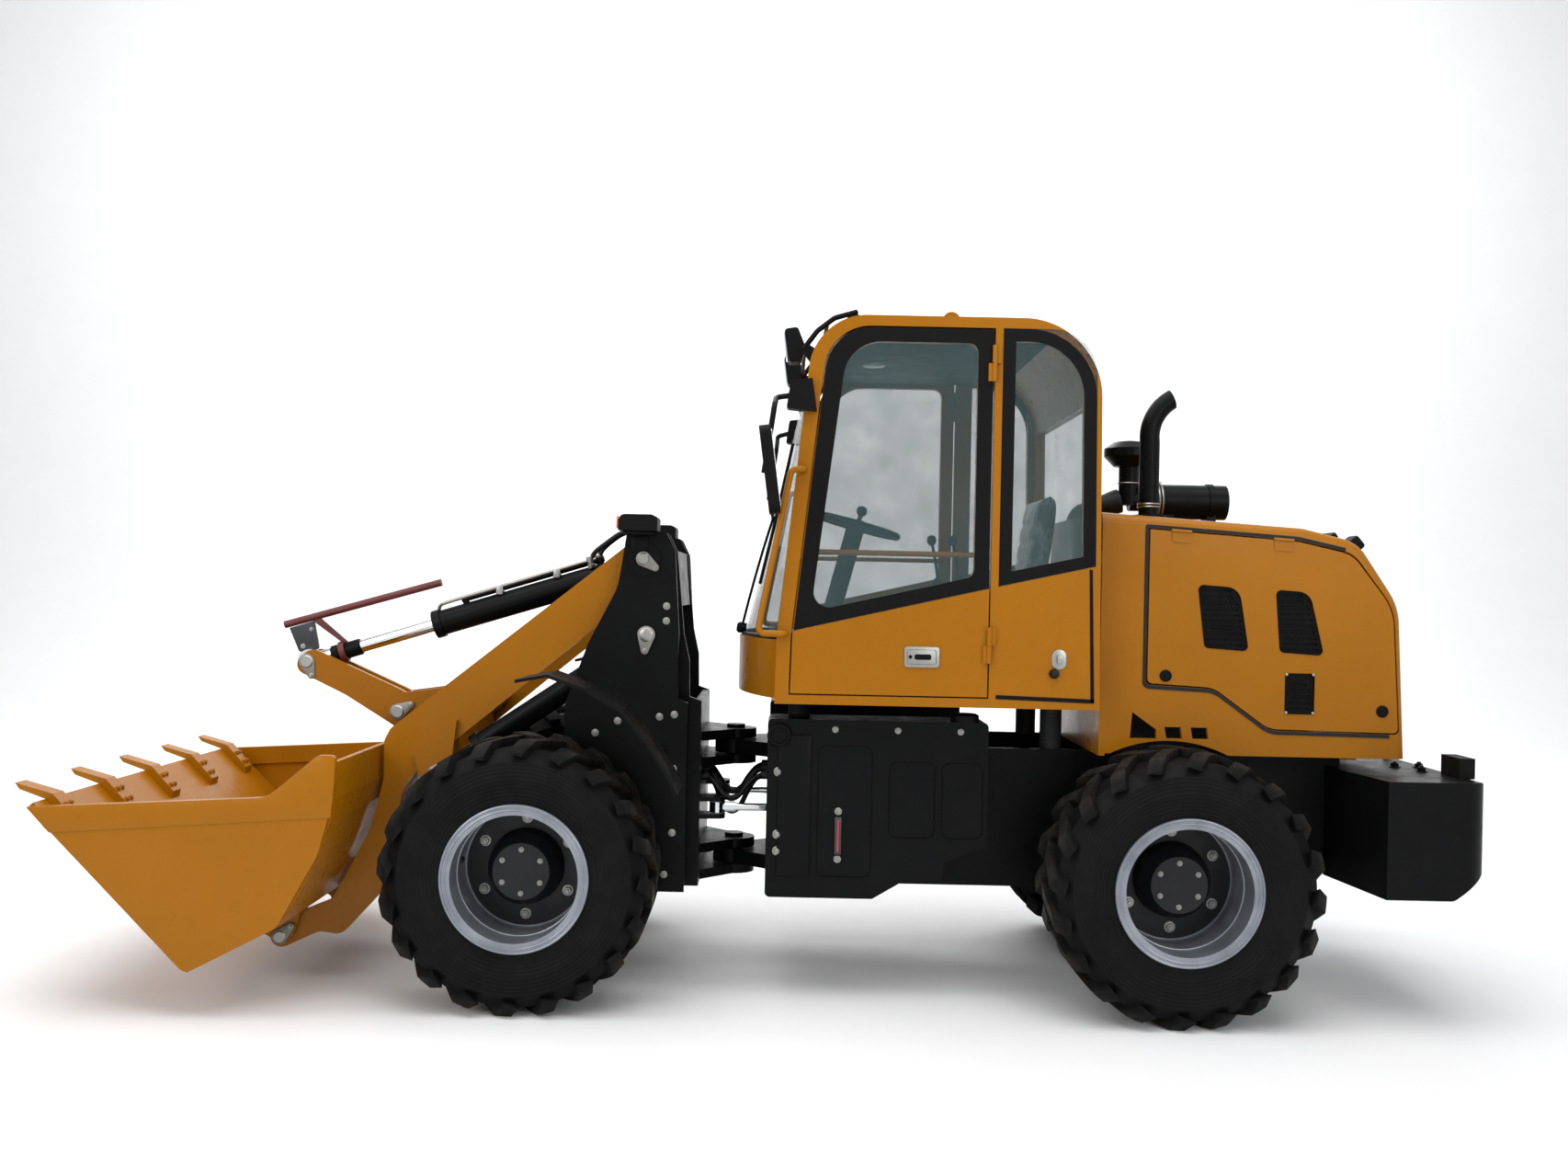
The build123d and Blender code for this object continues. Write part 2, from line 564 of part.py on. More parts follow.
def steer_cylinders():
    for side, way in (("left", 1), ("right", -1)):
        base = (STEER_BASE[0], way * STEER_BASE[1])
        eye = (STEER_EYE[0], way * STEER_EYE[1])
        level = Pos(0, 0, STEER_CYL_Z) * Rot(-90, 0, 0)
        body = barrel(base, eye, 0, 32, 25, 470, STEER_EYE_HALF, 20)
        stem = piston_rod(base, eye, 0, 16, 25, 235, 22, STEER_ROD_EYE_R)
        save(f"steer_barrel_{side}", level * body)
        save(f"steer_rod_{side}", level * stem)


def front_fenders():
    sheet = [(10, 1278), (-111, 1301), (-260, 1250), (-396, 1173), (-500, 1048), (-578, 930), (-612, 860)]
    skin = plate([front(p) for p in strip(sheet, -12)], TOWER_OUT + 170, WHEEL_Y + TYRE_WIDTH / 2)
    shape = skin
    for a, b in ((sheet[1], sheet[2]), (sheet[4], sheet[5])):
        run = Vector(b[0] - a[0], b[1] - a[1]).normalized()
        spot = front(((a[0] + b[0]) / 2 - run.Y * 27, (a[1] + b[1]) / 2 + run.X * 27))
        shape += pin(spot, 16, TOWER_OUT, WHEEL_Y)
    return both(shape)


def headlamps():
    low = TOWER_TOP_Z
    case = [(-484, low), (-484, low + 55, 15), (-460, low + 65, 20), (-340, low + 65, 25), (-327, low + 40),
            (-327, low)]
    inside = ARM_Y + ARM_THICK / 2 + SIDE_GAP + 2
    return both(plate([front(p) for p in case], inside, inside + LAMP_WIDTH))


def counterweight():
    side = plate([rear(p) for p in [(-701, 955), (-701, 505), (-1019, 505, 40), (-REAR_REACH, 614, 40),
                                    (-REAR_REACH, 955, 40)]], -WEIGHT_HALF, WEIGHT_HALF)
    half = [(-761, 361), (-701, FRAME_HALF), (-761, WEIGHT_HALF), (-REAR_REACH, WEIGHT_HALF, 120)]
    plan = half + [(p[0], -p[1]) + p[2:] for p in half[::-1]]
    shape = side & slab([rear(p) for p in plan], 400, 1000)
    back = rear((-REAR_REACH, 0))[0]
    shape -= box(back - 1, back + 110, -90, 90, TOW_SLOT[0], TOW_SLOT[1])
    return shape - rod((back + TOW_INSET, 0, 560), (back + TOW_INSET, 0, 1000), TOW_BORE_R)


def engine():
    return box(rear((-640, 0))[0], rear((140, 0))[0], -250, 250, ENGINE_Z, 1450)


def side_tanks():
    tank = [(1607, 413, 20), (1607, 1123, 20), (727, 1123, 20), (727, 619, 20), (771, 619), (895, 562),
            (904, 490), (1055, 487), (1179, 413)]
    return both(plate([rear(p) for p in tank], FRAME_HALF, TANK_HALF))


def cab_profile():
    """Side view of the whole cab: leaning front posts and a roof that rolls down behind."""
    return [(1584, CAB_FLOOR_Z), (1579, 1463), (1453, CAB_TOP_Z, 230),
            (325, CAB_TOP_Z, 310), (308, CAB_FLOOR_Z)]


def cab_inside(edge, floor):
    """The cab's side view drawn inwards by an edge, closed off at a floor height."""
    return [(1584 - edge, floor), (1579 - edge, 1463), (1453 - edge, CAB_TOP_Z - edge, 230 - edge),
            (325 + edge, CAB_TOP_Z - edge, 310 - edge), (308 + edge, floor)]


def sill_z(x):
    """Height of the slanted line where the side glass ends and the lower panel begins."""
    return 1463 + (1579 - x) * 0.2349


def cab_floor():
    wide = CAB_HALF - CAB_WALL
    plan = [(350, wide), (1544, wide), (1544, -wide), (350, -wide)]
    shape = slab([rear(p) for p in plan], CAB_FLOOR_Z, CAB_FLOOR_Z + 40)
    for x in (430, 1480):
        foot = rear((x, 0))[0]
        shape += both(rod((foot, FRAME_HALF - 50, 1000), (foot, FRAME_HALF - 50, CAB_FLOOR_Z), 45))
    return shape


def opening_outline(gap):
    """Side view of the door opening, drawn inwards by a gap."""
    edge = POST_WIDTH + gap
    top = CAB_TOP_Z - RAIL - gap
    return [(1584 - edge, CAB_FLOOR_Z + SILL + gap), (1579 - edge, 1463), (1453 - edge, top, 185),
            (DOOR_X + gap, top), (DOOR_X + gap, CAB_FLOOR_Z + SILL + gap)]


def upper_outline(gap):
    """The part of the door above the slanted line, where its bonded glass lies."""
    low = opening_outline(gap)
    front_x, back_x = low[1][0], low[4][0]
    return [(front_x - 4, sill_z(front_x)), low[2], low[3], (back_x, sill_z(back_x))]


def quarter_outline(inset):
    """The bonded quarter glass behind the door, or its clear part when drawn inwards."""
    x = DOOR_X - 30 - inset
    back = 345 + inset
    top = CAB_TOP_Z - RAIL - inset
    return [(x, sill_z(x) + inset), (x, top), (back, top, 270 - inset), (back - 12, sill_z(back) + inset)]


def door_clear():
    """The clear part of the door glass, inside the frame it is bonded to."""
    edge = POST_WIDTH + PANEL_GAP + FRAME_BORDER
    top = CAB_TOP_Z - RAIL - PANEL_GAP - 55
    front_low = 1579 - edge
    back = DOOR_X + PANEL_GAP + 60
    return [(front_low, sill_z(front_low) + 60, 60), (1453 - edge, top, 150), (back, top, 40),
            (back, sill_z(back) + 60, 40)]


def cab_sides():
    inner, outer = CAB_HALF - CAB_WALL, CAB_HALF
    side = plate([rear(p) for p in cab_profile()], inner, outer)
    side -= plate([rear(p) for p in opening_outline(0)], inner - 1, outer + 1)
    side -= plate([rear(p) for p in quarter_outline(0)], outer - GLASS, outer + 1)
    side -= plate([rear(p) for p in quarter_outline(50)], inner - 1, outer + 1)
    for z in DOOR_HINGES:
        side += hinge_half(z + HINGE_LONG + 1, -1)
    return both(side)


def hinge_half(z0, way):
    """One leaf and knuckle of a door hinge; way is 1 on the door and -1 on the fixed panel."""
    x = rear((DOOR_HINGE[0], 0))[0]
    knuckle = rod((x, DOOR_HINGE[1], z0), (x, DOOR_HINGE[1], z0 + HINGE_LONG), HINGE_R)
    x0, x1 = sorted((x, x + way * 24))
    return knuckle + box(x0, x1, CAB_HALF - GLASS, DOOR_HINGE[1], z0, z0 + HINGE_LONG)


def cab_roof():
    inner = CAB_HALF - CAB_WALL
    shape = plate([rear(p) for p in cab_profile()], -inner, inner)
    shape -= plate([rear(p) for p in cab_inside(ROOF_SHEET, CAB_FLOOR_Z - 10)], -inner, inner)
    shape &= box(rear((0, 0))[0], rear((2000, 0))[0], -inner, inner, SCREEN_Z1, CAB_TOP_Z + 10)
    for x in (560, 1180):
        top = CAB_TOP_Z - ROOF_SHEET
        rib = [(x, top), (x + 50, top), (x + 50, top - 30), (x, top - 30)]
        shape += plate([rear(p) for p in rib], -inner, inner)
    eye = plate([rear(p) for p in [(855, CAB_TOP_Z), (855, CAB_TOP_Z + 68, 34), (925, CAB_TOP_Z + 68, 34),
                                   (925, CAB_TOP_Z)]], 400, 420)
    eye -= pin(rear((890, CAB_TOP_Z + 35)), LIFT_BORE_R, 390, 430)
    return shape + both(eye)


def bowed(x, reach, thick):
    """Plan face between two bowed lines, one behind the other."""
    half = CAB_HALF - CAB_WALL
    ahead = ThreePointArc((x, -half), (x + reach, 0), (x, half))
    behind = ThreePointArc((x - thick, -half), (x + reach - thick, 0), (x - thick, half))
    ends = [Line((x, way * half), (x - thick, way * half)) for way in (1, -1)]
    return make_face([ahead, ends[0], behind, ends[1]])


def cab_front():
    """The lower front wall with its bowed cowl under the windscreen."""
    x = rear((1584, 0))[0]
    wall = extrude(Plane.XY.offset(COWL_Z0) * bowed(x, BOW_LOW, 40), amount=SCREEN_Z0 - COWL_Z0)
    sill = box(x - 40, x, -CAB_HALF + CAB_WALL, CAB_HALF - CAB_WALL, CAB_FLOOR_Z, COWL_Z0)
    under = make_face([ThreePointArc((x - 40, -CAB_HALF + CAB_WALL), (x + BOW_LOW - 40, 0),
                                     (x - 40, CAB_HALF - CAB_WALL)),
                       Line((x - 40, CAB_HALF - CAB_WALL), (x - 40, -CAB_HALF + CAB_WALL))])
    return wall + sill + extrude(Plane.XY.offset(COWL_Z0) * under, amount=20)


def cab_rear():
    inner = CAB_HALF - CAB_WALL
    wall = plate([rear(p) for p in cab_profile()], -inner, inner)
    wall -= plate([rear(p) for p in cab_inside(CAB_WALL, CAB_FLOOR_Z - 10)], -inner, inner)
    wall &= box(rear((0, 0))[0], rear((700, 0))[0], -inner, inner, CAB_FLOOR_Z, SCREEN_Z1)
    return wall - box(rear((200, 0))[0], rear((700, 0))[0], -REAR_PANE_HALF, REAR_PANE_HALF, *REAR_PANE)


def cab_glass():
    half = CAB_HALF - CAB_WALL
    low = Plane.XY.offset(SCREEN_Z0) * bowed(rear((1584 - 17, 0))[0], BOW_LOW, GLASS)
    top = rear((1579 - (SCREEN_Z1 - 1463) * 0.1 - 17, 0))[0]
    high = Plane.XY.offset(SCREEN_Z1) * bowed(top, BOW_HIGH, GLASS)
    screen = loft([low, high])
    wide = REAR_PANE_HALF
    pane = plate([rear(p) for p in cab_inside(17, CAB_FLOOR_Z)], -wide, wide)
    pane -= plate([rear(p) for p in cab_inside(17 + GLASS, CAB_FLOOR_Z - 10)], -wide, wide)
    pane &= box(rear((0, 0))[0], rear((700, 0))[0], -wide, wide, *REAR_PANE)
    quarter = plate([rear(p) for p in quarter_outline(0)], CAB_HALF - GLASS, CAB_HALF)
    return screen + pane + both(quarter)


def doors():
    inner, outer = CAB_HALF - CAB_WALL, CAB_HALF
    door = plate([rear(p) for p in opening_outline(PANEL_GAP)], inner, outer)
    door -= plate([rear(p) for p in upper_outline(PANEL_GAP)], outer - GLASS, outer + 1)
    door -= plate([rear(p) for p in door_clear()], inner - 1, outer + 1)
    for z in DOOR_HINGES:
        door += hinge_half(z, 1)
    pane = plate([rear(p) for p in upper_outline(PANEL_GAP)], outer - GLASS, outer)
    for z in DOOR_HINGES:
        x = rear((DOOR_HINGE[0], 0))[0]
        pane -= box(x - 30, x + 30, CAB_HALF - 20, CAB_HALF + 20, z - 5, z + HINGE_LONG + 5)
    save("door_left", door)
    save("door_glass_left", pane)
    save("door_right", mirror(door, about=Plane.XZ))
    save("door_glass_right", mirror(pane, about=Plane.XZ))


def seat():
    base = box(rear((430, 0))[0], rear((820, 0))[0], -220, 220, CAB_FLOOR_Z + 40, 1560)
    save("seat_base", base)
    pad = plate([rear(p) for p in [(430, 1560), (430, 1640, 20), (880, 1670, 40), (900, 1600, 40),
                                   (860, 1560)]], -240, 240)
    back = plate([rear(p) for p in [(430, 1645), (375, 2050, 60), (470, 2080, 50), (550, 1700),
                                    (540, 1650)]], -230, 230)
    save("driver_seat", pad + back)


def dash():
    outline = [(1545, CAB_FLOOR_Z + 40), (1545, 1440, 30), (1440, 1500, 30), (1330, 1480),
               (1330, CAB_FLOOR_Z + 40)]
    tower = plate([rear(p) for p in outline], -260, 260)
    return tower + rod((rear((1370, 0))[0], 0, 1440), (rear((1250, 0))[0], 0, 1900), 40)


def steering_wheel():
    lean = Vector(-120, 0, 460).normalized()
    place = Plane(origin=Vector(rear((1250, 0))[0], 0, 1900) + lean * 25, z_dir=lean)
    ring = place * Torus(186, 15)
    hub = place * Cylinder(45, 50)
    for angle in (90, 210, 330):
        hub += place * (Rot(0, 0, angle) * (Pos(100, 0, 0) * Box(175, 26, 14)))
    return ring + hub


def hood_outline(inset, floor):
    """Side view of the hood, drawn inwards by an inset."""
    return [(283 - inset, floor), (283 - inset, HOOD_TOP_Z - inset), (-528, HOOD_TOP_Z - HOOD_FALL - inset, 200),
            (-749 + inset * 0.5, 1876 - inset, 150), (-920 + inset, 1622, 250), (-951 + inset, floor)]


def hood_door_outline(gap):
    """Side view of the hood's side door, drawn inwards by a gap."""
    return [(98 - gap, 1916 - gap), (-500, 1878 - gap, 150), (-725 + gap, 1830 - gap, 120),
            (-892 + gap, 1610, 230), (-922 + gap, 1107 + gap, 20), (-397, 1114 + gap, 120),
            (-173, 1275 + gap, 120), (98 - gap, 1288 + gap, 20)]


def hood_shell():
    outer = plate([rear(p) for p in hood_outline(0, HOOD_Z)], -HOOD_HALF, HOOD_HALF)
    long_edges = outer.faces().filter_by(Axis.Y).edges().filter_by(lambda e: e.center().Z > 1700)
    outer = fillet(long_edges, HOOD_EDGE)
    inner = plate([rear(p) for p in hood_outline(HOOD_WALL, HOOD_Z - 10)], -HOOD_HALF + HOOD_WALL,
                  HOOD_HALF - HOOD_WALL)
    return outer - inner


def grille_windows():
    """The two slanted grilles and the square vent in a hood door."""
    return [[(-102, 1693, 20), (-268, 1682, 60), (-310, 1429, 20), (-133, 1440, 20)],
            [(-415, 1678, 20), (-551, 1670, 60), (-612, 1417, 20), (-435, 1428, 20)],
            [(-459, 1345, 10), (-576, 1345, 10), (-576, 1182, 10), (-459, 1182, 10)]]


def hood_holes():
    """Three small vents in the fixed panel above the rear wheel."""
    return [[(150, 1177), (52, 1108), (52, 1072), (158, 1072)],
            [(20, 1120), (-45, 1120), (-52, 1074), (12, 1074)],
            [(-85, 1120), (-150, 1120), (-158, 1074), (-93, 1074)]]


def hood_hinges():
    """Knuckles and straps that carry the hood's side door on its top edge."""
    top, end = rear((98, 1913)), rear((-500, 1875))
    y = HOOD_HALF + 6
    shape = None
    for s in (90, 500):
        knuckle = span(top, end, s, s + 80, 6, y)
        a, b = along(top, end, s + 3), along(top, end, s + 77)
        strap = plate([a, b, (b[0], b[1] - 45), (a[0], a[1] - 45)], HOOD_HALF - 1, HOOD_HALF + 4)
        piece = knuckle + strap
        shape = piece if shape is None else shape + piece
    return shape


def hood_parts():
    shell = hood_shell()
    deep = HOOD_HALF - HOOD_WALL - 40
    opening = plate([rear(p) for p in hood_door_outline(0)], deep, HOOD_HALF + 10)
    leaf = plate([rear(p) for p in hood_door_outline(PANEL_GAP)], deep, HOOD_HALF + 10)
    hood = shell - both(opening)
    arch = pin(rear((0, AXLE_Z)), TYRE_R + 15, WHEEL_Y - TYRE_WIDTH / 2 - 20, WHEEL_Y + TYRE_WIDTH)
    hood -= both(arch)
    beam = HOOD_HALF - HOOD_WALL
    hood += box(rear((-760, 0))[0], rear((-720, 0))[0], -beam, beam, 1000, 1060)
    hood += box(rear((258, 0))[0], rear((283, 0))[0], -HOOD_HALF, HOOD_HALF, 1000, HOOD_Z + 20)
    for hole in hood_holes():
        hood -= both(plate([rear(p) for p in hole], beam - 10, HOOD_HALF + 10))
    save("hood", hood)
    door = shell & leaf
    mesh = None
    for window in grille_windows():
        hole = plate([rear(p) for p in window], deep, HOOD_HALF + 10)
        door -= hole
        sheet = plate([rear(p) for p in window], HOOD_HALF - HOOD_WALL + 4, HOOD_HALF - 6)
        low = min(p[1] for p in window)
        high = max(p[1] for p in window)
        bar = 24
        for i in range(int((high - low - 20) / bar)):
            z = low + 14 + i * bar
            sheet -= plate([rear(p) for p in inset_band(window, z, z + bar - 9)], deep, HOOD_HALF + 10)
        mesh = sheet if mesh is None else mesh + sheet
    door += hood_hinges()
    save("hood_door_left", door)
    save("hood_grille_left", mesh)
    save("hood_door_right", mirror(door, about=Plane.XZ))
    save("hood_grille_right", mirror(mesh, about=Plane.XZ))


def inset_band(window, z0, z1):
    """A slot between two heights that stays inside a window's slanted ends."""
    def edge(z, a, b):
        return a[0] + (b[0] - a[0]) * (z - a[1]) / (b[1] - a[1])
    front_top, back_top, back_low, front_low = window
    near0, near1 = edge(z0, front_low, front_top), edge(z1, front_low, front_top)
    far0, far1 = edge(z0, back_low, back_top), edge(z1, back_low, back_top)
    margin = 30 if z1 > back_top[1] - 40 else 12
    return [(near0 - 12, z0), (near1 - 12, z1), (far1 + margin, z1), (far0 + margin, z0)]


def hood_top(x):
    """Height of the hood's straight top at a place behind the rear axle."""
    return HOOD_TOP_Z - (283 - x) * HOOD_FALL / 811


def exhaust_stack():
    x = 12
    base = rear((x, 0))[0]
    foot = hood_top(x) + 6
    bend = HOOD_TOP_Z + 324
    path = Line((base, 200, foot), (base, 200, bend)) + ThreePointArc(
        (base, 200, bend), (base - 25, 200, bend + 115), (base - 91, 200, bend + 180))
    pipe = sweep(Plane.XY.offset(foot) * (Pos(base, 200) * Circle(42)), path=path)
    seat = [(x - 75, hood_top(x - 75)), (x + 75, hood_top(x + 75)), (x + 75, foot + 20), (x - 75, foot + 20)]
    flange = plate([rear(p) for p in seat], 125, 275)
    flange &= rod((base, 200, foot - 50), (base, 200, foot + 50), 75)
    return pipe + flange


def air_cleaner():
    y, z = -200, HOOD_TOP_Z + 94
    x0, x1 = rear((-432, 0))[0], rear((-101, 0))[0]
    shape = rod((x0, y, z), (x1, y, z), 78) + rod((x0 + 60, y, z), (x0 + 85, y, z), 84)
    for x in (-360, -170):
        foot = [(x - 20, hood_top(x - 20)), (x + 20, hood_top(x + 20)), (x + 20, z - 50), (x - 20, z - 50)]
        shape += plate([rear(p) for p in foot], y - 50, y + 50)
    stem = rear((3, 0))[0]
    shape += rod((x1 - 10, y, z), (stem, y, z), 45) + rod((stem, y, z - 20), (stem, y, z + 160), 45)
    bowl = turned([(0, 0), (70, 0), (112, 45), (112, 80), (70, 110), (0, 120)])
    return shape + Pos(stem, y, z + 155) * Rot(90, 0, 0) * bowl


def mirrors():
    """Two mirrors, each on a bent tube from a bracket box on the front post."""
    post = plate([rear(p) for p in cab_profile()], CAB_HALF - 60, CAB_HALF + 10)
    z = CAB_TOP_Z - 322
    foot = plate([rear(p) for p in [(1440, z - 65), (1460, z + 65), (1545, z + 55, 12), (1560, z - 55, 12)]],
                 CAB_HALF - 35, CAB_HALF + 35) - post
    top, low = rear((1600, 0))[0], rear((1640, 0))[0]
    y = CAB_HALF + 160
    arm = pipe([(rear((1530, 0))[0], CAB_HALF + 10, z), (top, CAB_HALF + 40, z - 15), (top + 5, y, z - 60),
                (low, y, z - 320)], 11, 35)
    head = Pos(rear((1618, 0))[0], y, z - 307) * Rot(0, 8, 0) * extrude(
        Plane.YZ * RectangleRounded(180, 334, 35), amount=22, both=True)
    return both(foot + arm + head)


def grab_rails():
    low, high = rear((1655, 0))[0], rear((1535, 0))[0]
    y = CAB_HALF + 45
    foot, head = rear((1545, 0))[0], rear((1485, 0))[0]
    rail = pipe([(foot, CAB_HALF, 1466), (foot, y, 1466), (low, y, 1466),
                 (high, y, 2107), (head, y, 2107), (head, CAB_HALF, 2107)], 13, 25)
    return both(rail)


def roof_lamps():
    """A bowed lamp guard above the windscreen with its brackets and two work lamps."""
    roof = plate([rear(p) for p in cab_profile()], -CAB_HALF, CAB_HALF)
    z = CAB_TOP_Z
    bend = [(1495, z - 97), (1440, z - 22), (1370, z + 33), (1277, z + 60)]
    hoop = pipe([(rear((x, 0))[0], 420, height) for x, height in bend], 11, 60)
    shape = both(hoop)
    for spot in ((1490, z - 90), (1400, z + 9), (1282, z + 58)):
        shape += pin(rear(spot), 9, -420, 420)
    foot = [(1430, z - 202), (1400, z - 122), (1484, z - 72), (1502, z - 104)]
    low = plate([rear(p) for p in foot], 412, 428) - roof
    foot = [(1270, z - 32), (1270, z + 48), (1315, z + 43), (1345, z - 42)]
    high = plate([rear(p) for p in foot], 412, 428) - roof
    lamp = plate([rear(p) for p in [(1486, z - 82, 15), (1520, z, 15), (1576, z - 10, 15), (1556, z - 147, 15),
                                    (1505, z - 142, 15)]], 290, 390)
    return shape + both(low) + both(high) + both(lamp)


def rear_lamps():
    x = rear((-1120, 0))[0]
    return both(box(x - 30, x + 30, 560, 720, 955, 1035))


def main():
    os.makedirs("parts", exist_ok=True)
    wheels()
    inner0 = TOWER_IN - TOWER_PLATE
    save("front_axle", axle(FRONT_AXLE_X, 200, inner0, FRONT_PAD_Z))
    save("rear_axle", axle(REAR_AXLE_X, FRAME_HALF - FRAME_PLATE, FRAME_HALF, REAR_PAD_Z))
    save("front_frame", front_frame())
    save("front_fenders", front_fenders())
    save("headlamps", headlamps())
    save("boom", boom())
    save("bucket", bucket())
    save("bucket_teeth", bucket_teeth())
    save("bellcrank", bellcrank())
    save("bucket_link", bucket_link())
    tilt_cylinder()
    lift_cylinders()
    steer_cylinders()
    save("rear_frame", rear_frame())
    save("counterweight", counterweight())
    save("engine", engine())
    save("side_tanks", side_tanks())
    save("cab_floor", cab_floor())
    save("cab_sides", cab_sides())
    save("cab_roof", cab_roof())
    save("cab_front", cab_front())
    save("cab_rear", cab_rear())
    save("cab_glass", cab_glass())
    doors()
    seat()
    save("dash_console", dash())
    save("steering_wheel", steering_wheel())
    hood_parts()
    save("exhaust_stack", exhaust_stack())
    save("air_cleaner", air_cleaner())
    save("mirrors", mirrors())
    save("grab_rails", grab_rails())
    save("roof_lamps", roof_lamps())
    save("rear_lamps", rear_lamps())


main()
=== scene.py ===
# %% [markdown]
# # Dressing a wheel loader
# The imported CAD model comes in as a fixed frame in metres: X points forward, Y to the
# left and Z up. Each piece is parented to an empty named after the body it rides on, and
# the hoses across the steering joint are parented to none.

# %% Load the frame
from math import cos, pi, radians, sin, tan

import bmesh
import bpy
from mathutils import Matrix, Vector


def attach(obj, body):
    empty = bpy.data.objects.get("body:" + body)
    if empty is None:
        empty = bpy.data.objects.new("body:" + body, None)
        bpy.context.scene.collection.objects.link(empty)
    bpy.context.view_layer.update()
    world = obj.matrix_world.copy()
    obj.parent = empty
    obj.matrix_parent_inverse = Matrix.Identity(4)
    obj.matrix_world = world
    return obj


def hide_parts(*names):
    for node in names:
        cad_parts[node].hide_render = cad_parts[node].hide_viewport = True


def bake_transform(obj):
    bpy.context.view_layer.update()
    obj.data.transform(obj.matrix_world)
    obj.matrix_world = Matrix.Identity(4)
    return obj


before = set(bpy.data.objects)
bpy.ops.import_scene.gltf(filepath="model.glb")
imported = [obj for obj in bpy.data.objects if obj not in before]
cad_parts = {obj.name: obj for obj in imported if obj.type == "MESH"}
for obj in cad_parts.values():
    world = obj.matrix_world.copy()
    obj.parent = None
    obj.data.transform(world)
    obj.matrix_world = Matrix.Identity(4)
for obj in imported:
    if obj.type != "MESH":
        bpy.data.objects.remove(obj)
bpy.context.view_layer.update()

FRONT_X = 0.912          # axles
REAR_X = -1.638
AXLE_Z = 0.525
SIDES = (("left", 1), ("right", -1))

# %% [markdown]
# ## Materials
# One function builds every painted, moulded or rolled surface. Slow noise shifts the
# colour, fine noise makes the grain and the gloss uneven, and dust settles on the lower
# parts of the machine. All noise is in object coordinates, which are metres here.


# %% Material functions
def srgb(r, g, b):
    """An 8-bit screen colour as the linear colour a shader needs."""
    def lin(c):
        c = c / 255
        return c / 12.92 if c <= 0.04045 else ((c + 0.055) / 1.055) ** 2.4
    return (lin(r), lin(g), lin(b), 1.0)


def shade(colour, factor):
    return tuple(min(1.0, c * factor) for c in colour[:3]) + (1.0,)


class Nodes:
    """Short calls for building one material's node tree."""

    def __init__(self, name):
        self.material = bpy.data.materials.new(name)
        self.material.use_nodes = True
        self.tree = self.material.node_tree
        self.shader = self.tree.nodes["Principled BSDF"]
        self.place = self.add("ShaderNodeTexCoord").outputs["Object"]

    def add(self, kind, **values):
        node = self.tree.nodes.new(kind)
        for key, value in values.items():
            setattr(node, key, value)
        return node

    def link(self, a, b):
        self.tree.links.new(a, b)

    def noise(self, scale, detail=4.0, rough=0.6, stretch=None):
        node = self.add("ShaderNodeTexNoise")
        node.inputs["Scale"].default_value = scale
        node.inputs["Detail"].default_value = detail
        node.inputs["Roughness"].default_value = rough
        source = self.place
        if stretch:
            mapping = self.add("ShaderNodeMapping")
            mapping.inputs["Scale"].default_value = stretch
            self.link(source, mapping.inputs["Vector"])
            source = mapping.outputs["Vector"]
        self.link(source, node.inputs["Vector"])
        return node.outputs["Fac"]

    def ramp(self, value, low, high, out0=0.0, out1=1.0):
        node = self.add("ShaderNodeMapRange")
        node.inputs["From Min"].default_value = low
        node.inputs["From Max"].default_value = high
        node.inputs["To Min"].default_value = out0
        node.inputs["To Max"].default_value = out1
        self.link(value, node.inputs["Value"])
        return node.outputs["Result"]

    def math(self, operation, a, b):
        node = self.add("ShaderNodeMath", operation=operation)
        for i, value in enumerate((a, b)):
            if isinstance(value, (int, float)):
                node.inputs[i].default_value = value
            else:
                self.link(value, node.inputs[i])
        return node.outputs[0]

    def mix(self, factor, a, b):
        node = self.add("ShaderNodeMix", data_type="RGBA")
        for socket, value in ((0, factor), (6, a), (7, b)):
            if isinstance(value, (int, float, tuple)):
                node.inputs[socket].default_value = value
            else:
                self.link(value, node.inputs[socket])
        return node.outputs[2]

    def part_of_place(self, axis):
        split = self.add("ShaderNodeSeparateXYZ")
        self.link(self.place, split.inputs[0])
        return split.outputs[axis]

    def bump(self, height, strength, distance, under=None):
        node = self.add("ShaderNodeBump")
        node.inputs["Strength"].default_value = strength
        node.inputs["Distance"].default_value = distance
        self.link(height, node.inputs["Height"])
        if under:
            self.link(under, node.inputs["Normal"])
        return node.outputs["Normal"]

    def set(self, **values):
        for key, value in values.items():
            socket = self.shader.inputs[key.replace("_", " ")]
            if isinstance(value, (int, float, tuple)):
                socket.default_value = value
            else:
                self.link(value, socket)


DUST = srgb(150, 138, 118)


def surface(name, colour, gloss, metal=0.0, coat=0.0, grain=220.0, mottle=0.10, relief=0.12,
            depth=0.0006, dust=0.0, dust_top=1.0, shine=0.5):
    """A finish with uneven colour, grain and gloss, and dust that thins out with height."""
    n = Nodes(name)
    slow = n.noise(2.2, 5.0)
    fine = n.noise(grain, 3.0)
    tint = n.mix(n.ramp(slow, 0.3, 0.7), shade(colour, 1 - mottle), shade(colour, 1 + mottle))
    if dust:
        height = n.ramp(n.part_of_place("Z"), 0.0, dust_top, 1.0, 0.15)
        patches = n.ramp(n.noise(9.0, 8.0, 0.7), 0.42, 0.78)
        tint = n.mix(n.math("MULTIPLY", n.math("MULTIPLY", height, patches), dust), tint, DUST)
    n.set(Base_Color=tint, Metallic=metal, Coat_Weight=coat, Coat_Roughness=0.06, Specular_IOR_Level=shine,
          Roughness=n.ramp(n.noise(14.0, 6.0), 0.3, 0.75, gloss * 0.8, gloss * 1.35),
          Normal=n.bump(fine, relief, depth))
    print("finish", name)
    return n.material


